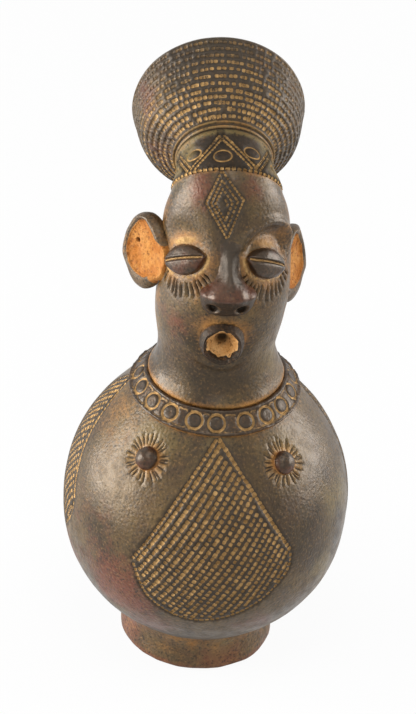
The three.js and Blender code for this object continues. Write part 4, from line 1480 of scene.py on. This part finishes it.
def makeEar(side):
    spot = ear[side]
    turn, tip = rad(spot["turn"]), rad(ear["tip"])
    out = np.array([side * math.cos(turn) * math.cos(tip), -math.sin(turn) * math.cos(tip), math.sin(tip)])
    across = np.array([math.sin(turn), side * math.cos(turn), 0.0])
    origin = np.array([side * spot["out"], ear["backset"], neckZ + spot["rise"]])
    axes = {"origin": origin, "across": across, "up": np.cross(out, across), "out": out}
    half, rim, dish, root = ear["height"] / 2, ear["rim"], ear["dish"], ear["root"]
    start = half - rim
    profile = np.vstack([
        [(0, -dish)],
        smoothLine([
            (1.2, -dish), (half * 0.42, -dish * 0.93), (start - 1.5, -dish * 0.62), (start, -dish * 0.32),
        ], 14),
        smoothLine([
            (start + 0.5, -0.5), (half - rim * 0.62, -0.02), (half - rim * 0.3, -0.1), (half - 0.25, -0.9),
            (half, -2.2), (half - 0.5, -4.6), (half * 0.85, -dish - 4), (half * 0.68, -dish - 6.6),
            (half * 0.58, -dish - 10), (half * 0.54, -root),
        ], 8),
        [(half * 0.25, -root), (0, -root)],
    ])
    points, faces = turnedGrid(profile, 128)
    stretch = np.array([ear["width"] / ear["height"], 1, 1])
    reach, circle = np.hypot(points[:, 0], points[:, 1]), np.arctan2(points[:, 0], -points[:, 1])
    inner, upper = -side * np.sin(circle) * stretch[0], np.cos(circle)
    back = points[:, 2] < -dish - 1.2

    # where the dish ends along each spoke, and the rim between it and the outline
    tall = np.where(upper > 0, ear["top"], spot["bottom"])
    wide = np.where(inner > 0, ear["inner"], ear["side"])
    limit = 1 / np.sqrt((inner / wide) ** 2 + (upper / tall) ** 2)
    lobeA, lobeB, lobeAt = ear["lobe"]
    toLobe = lobeA * inner + lobeB * upper
    limit = np.where(toLobe > 0.05, np.minimum(limit, lobeAt / np.maximum(toLobe, 0.05)), limit)
    limit = np.minimum(limit, half - 1.6 + 1.2 * ease(0.1, 0.5, inner) * ease(0.6, 0.2, np.abs(upper + 0.1)))
    moved = np.where(reach < start, reach / start * limit, limit + (reach - start) / rim * (half - limit))
    moved = np.where(back | (reach < 1e-6), reach, moved)
    acrossRim = np.clip((moved - limit) / np.maximum(half - limit, 0.1), 0, 1)
    onRim = (reach >= start) & ~back
    lobe = 2.2 * ease(0.3, 0.75, toLobe) * np.sin(pi * np.clip(acrossRim * 0.9 + 0.08, 0, 1))
    points[:, 2] += np.where(onRim, -3.2 * ease(0.35, 0.8, -upper) * acrossRim**1.6 + lobe, 0)
    dip = 5.0 * acrossRim * ease(0.2, 0.5, inner) * ease(0.62, 0.3, np.abs(upper - 0.06))
    points[:, 2] -= np.where(onRim, dip, 0)
    points[:, :2] *= (moved / np.maximum(reach, 1e-6))[:, None]

    # the outline: corners, the side drawn in towards the head, and the hand's unevenness
    flat = points * stretch
    corner = hump(np.degrees(np.arctan2(upper, -inner)), 58, 16) * (side > 0)
    corner = corner + 1.5 * hump(np.degrees(np.arctan2(upper, inner)), 48, 18)
    inward = 5.5 * ease(0.2, 0.55, inner) * ease(0.62, 0.25, np.abs(upper - 0.06))
    inward = inward * ease(start * 0.4, half, reach) * ~back
    wobble = inward + 0.4 * softNoise(flat, 12, 140 + side) + 0.14 * softNoise(flat, 4, 142 + side)
    wobble = wobble + 1.9 * corner * ease(start, half, reach)
    points[:, :2] *= (1 + wobble / np.maximum(moved, 6))[:, None]
    inDish = (reach < start + 0.2) & ~back
    crumble = 0.3 * softNoise(flat, 3.2, 144 + side) + 0.22 * softNoise(flat, 1.3, 146 + side)
    points[:, 2] += np.where(inDish, crumble, 0.12 * softNoise(flat, 7, 147))

    thin = (half - limit < 0.8) & (reach > start * 0.8)
    bareRim = np.where(thin, 0, acrossRim) + 0.05 * softNoise(flat, 2.4, 148)
    pale = np.where(back, 0, ease(0.18, 0.03, bareRim))
    chord = toLobe * moved - lobeAt + 0.5 * softNoise(flat, 3, 150)
    paleInner = ease(0.22, 0.4, inner) * ease(*spot["paleFrom"], upper) * ease(0.4, -0.5, chord) * ~back
    pale = np.maximum(pale, paleInner)
    # painted shade along the foot of the rim where it rises from the dish, and painted shadow in the pin hole
    shade = 0.5 * np.where(back, 0, hump(acrossRim, 0.1, 0.08)) * ~inDish * (pale < 0.5)
    if side < 0:
        away = np.hypot(flat[:, 0] - ear["pin"][0], flat[:, 1] + ear["pin"][1])
        hole = ease(ear["pinRadius"] + 0.35, ear["pinRadius"] - 0.2, away) * inDish
        points[:, 2] -= ear["pinDepth"] * hole
        shade = np.maximum(shade, hole)
    placed = placedOn(axes, points * stretch)
    beyond, run, turned = headReach(placed)
    sunk = beyond < -ear["sunk"]
    placed[sunk] = headBase(run[sunk], turned[sunk], ear["sunk"])
    film = np.maximum(0.7 * hump(beyond, 0, 1.6) * back, 0.25 * softNoise(flat, 6, 149))
    fields = {"pale": pale, "film": film, "shade": shade}
    names = ("ear" + sideNames[side], "ear_" + sideNames[side].lower())
    addPiece(names[0], placed, faces, fields, wornClay, names[1])


makeEar(-1)
makeEar(1)


def makeBreast(side):
    turn, along = np.array([side * rad(breast["turn"])]), np.array([breastAlong()])
    origin = globeSkin(turn, along, np.zeros(1))[0]
    out = globeSkin(turn, along, np.ones(1))[0] - origin
    across = np.array([math.cos(turn[0]), math.sin(turn[0]), 0.0])
    axes = {"origin": origin, "across": across, "up": np.cross(out, across), "out": out}
    radius, high = breast["radius"], breast["height"]
    dome = [(radius * math.cos(t), high * math.sin(t)) for t in np.linspace(0.12, pi / 2 - 0.06, 9)]
    outside = smoothLine([(radius + 0.9, -0.9), (radius + 0.25, -0.1)] + dome, 4)
    points, faces = turnedGrid(np.vstack([[(0, -2.4), (radius + 0.4, -2.4)], outside, [(0, high)]]), 72)
    bump = 0.2 * softNoise(points, 4, 160 + side) + 0.1 * softNoise(points, 1.8, 162 + side)
    points = points * (1 + np.where(points[:, 2] > -0.5, bump, 0) / 5)[:, None]
    film, red = 0.8 * ease(1.2, 0.0, points[:, 2]), 0.45 + 0.4 * softNoise(points, 5, 164)
    fields = {"film": film, "red": red, "olive": noField}
    names = ("breast" + sideNames[side], "breast_" + sideNames[side].lower())
    addPiece(names[0], placedOn(axes, points), faces, fields, darkClay, names[1])


makeBreast(-1)
makeBreast(1)
print("all pieces made")

# Studio: a pale floor that turns white for the camera but keeps the shadow, and soft boxes round the jar,
# each with its place, aim, size and power
studio = {
    "floorSize": 6.0, "floorTone": (0.74, 0.74, 0.74), "wash": 0.94, "world": 0.38,
    "boxes": {
        "leftBox": ((-1.24, -0.06, 0.38), (0, 0, 0.2), (1.05, 0.75), 24.0),
        "rightBox": ((1.2, 0.2, 0.44), (0, 0, 0.22), (1.0, 0.7), 15.0),
        "leftBounce": ((-0.47, -0.02, 0.02), (0, 0, 0.24), (0.42, 0.5), 1.7),
        "topBox": ((-0.05, -0.45, 1.6), (0, 0, 0.17), (0.7, 0.7), 7.0),
        "frontBox": ((0, -1.9, 0.8), (0, 0, 0.15), (1.0, 1.0), 4.0),
    },
}
white = (1, 1, 1, 1)


# 1 for what is seen straight, mirrored or through something, 0 for the light that falls on the jar
def seenShare(tree):
    path = tree.nodes.new("ShaderNodeLightPath")
    share = path.outputs["Is Camera Ray"]
    for ray in ("Is Glossy Ray", "Is Transmission Ray"):
        either = tree.nodes.new("ShaderNodeMath")
        either.operation = "MAXIMUM"
        tree.links.new(share, either.inputs[0])
        tree.links.new(path.outputs[ray], either.inputs[1])
        share = either.outputs[0]
    return share


def mixInto(tree, share, unseen, seen, outputKind):
    mixed, output = tree.nodes.new("ShaderNodeMixShader"), tree.nodes.new(outputKind)
    for k, source in enumerate((share, unseen.outputs[0], seen.outputs[0])):
        tree.links.new(source, mixed.inputs[k])
    tree.links.new(mixed.outputs[0], output.inputs["Surface"])


def makeFloor():
    mesh = bpy.data.meshes.new("floor")
    size = studio["floorSize"]
    corners = [(-size, -size, 0), (size, -size, 0), (size, size, 0), (-size, size, 0)]
    mesh.from_pydata(corners, [], [(0, 1, 2, 3)])
    floor = bpy.data.objects.new("floor", mesh)
    bpy.context.scene.collection.objects.link(floor)
    paper = bpy.data.materials.new("studioPaper")
    paper.use_nodes = True
    tree = paper.node_tree
    tree.nodes.clear()
    wash = tree.nodes.new("ShaderNodeMath")
    wash.operation = "MULTIPLY"
    wash.inputs[1].default_value = studio["wash"]
    tree.links.new(seenShare(tree), wash.inputs[0])
    diffuse, glow = tree.nodes.new("ShaderNodeBsdfDiffuse"), tree.nodes.new("ShaderNodeEmission")
    diffuse.inputs["Color"].default_value = (*studio["floorTone"], 1)
    glow.inputs["Color"].default_value = white
    mixInto(tree, wash.outputs[0], diffuse, glow, "ShaderNodeOutputMaterial")
    mesh.materials.append(paper)


def makeWorld():
    world = bpy.data.worlds.new("studioWorld")
    bpy.context.scene.world = world
    world.use_nodes = True
    tree = world.node_tree
    tree.nodes.clear()
    soft, bright = tree.nodes.new("ShaderNodeBackground"), tree.nodes.new("ShaderNodeBackground")
    for node, strength in ((soft, studio["world"]), (bright, 1.0)):
        node.inputs["Color"].default_value = white
        node.inputs["Strength"].default_value = strength
    mixInto(tree, seenShare(tree), soft, bright, "ShaderNodeOutputWorld")


def makeLamps():
    for name, (place, aim, size, power) in studio["boxes"].items():
        data = bpy.data.lights.new(name, "AREA")
        data.shape = "RECTANGLE"
        data.size, data.size_y = size
        data.energy = power
        lamp = bpy.data.objects.new(name, data)
        lamp.location = place
        lamp.rotation_mode = "QUATERNION"
        lamp.rotation_quaternion = (Vector(aim) - Vector(place)).to_track_quat("-Z", "Y")
        bpy.context.scene.collection.objects.link(lamp)


makeFloor()
makeWorld()
makeLamps()
print("studio lit")

# Camera: looking down on the jar from a little to its right, rolled slightly
camera = {
    "down": 35.5, "yaw": 4.5, "roll": 4.7, "distance": 1820.0, "aim": (-4.41, 0, 164.15), "lens": 190.94,
}


def makeCamera():
    down, yaw, roll = rad(camera["down"]), rad(camera["yaw"]), rad(camera["roll"])
    right, up = Vector((1, 0, 0)), Vector((0, math.sin(down), math.cos(down)))
    back = Vector((0, -math.cos(down), math.sin(down)))
    place = Vector(camera["aim"]) + back * camera["distance"]
    turned = Matrix.Rotation(-yaw, 3, "Z")
    across = right * math.cos(roll) + up * math.sin(roll)
    upward = up * math.cos(roll) - right * math.sin(roll)
    matrix = Matrix([turned @ across, turned @ upward, turned @ back]).transposed().to_4x4()
    matrix.translation = (turned @ place) * 0.001
    data = bpy.data.cameras.new("photoCamera")
    data.lens = camera["lens"]
    data.sensor_width = 36
    data.clip_end = 100
    holder = bpy.data.objects.new("photoCamera", data)
    holder.matrix_world = matrix
    bpy.context.scene.collection.objects.link(holder)
    bpy.context.scene.camera = holder


makeCamera()
bpy.context.scene.view_settings.view_transform = "Standard"
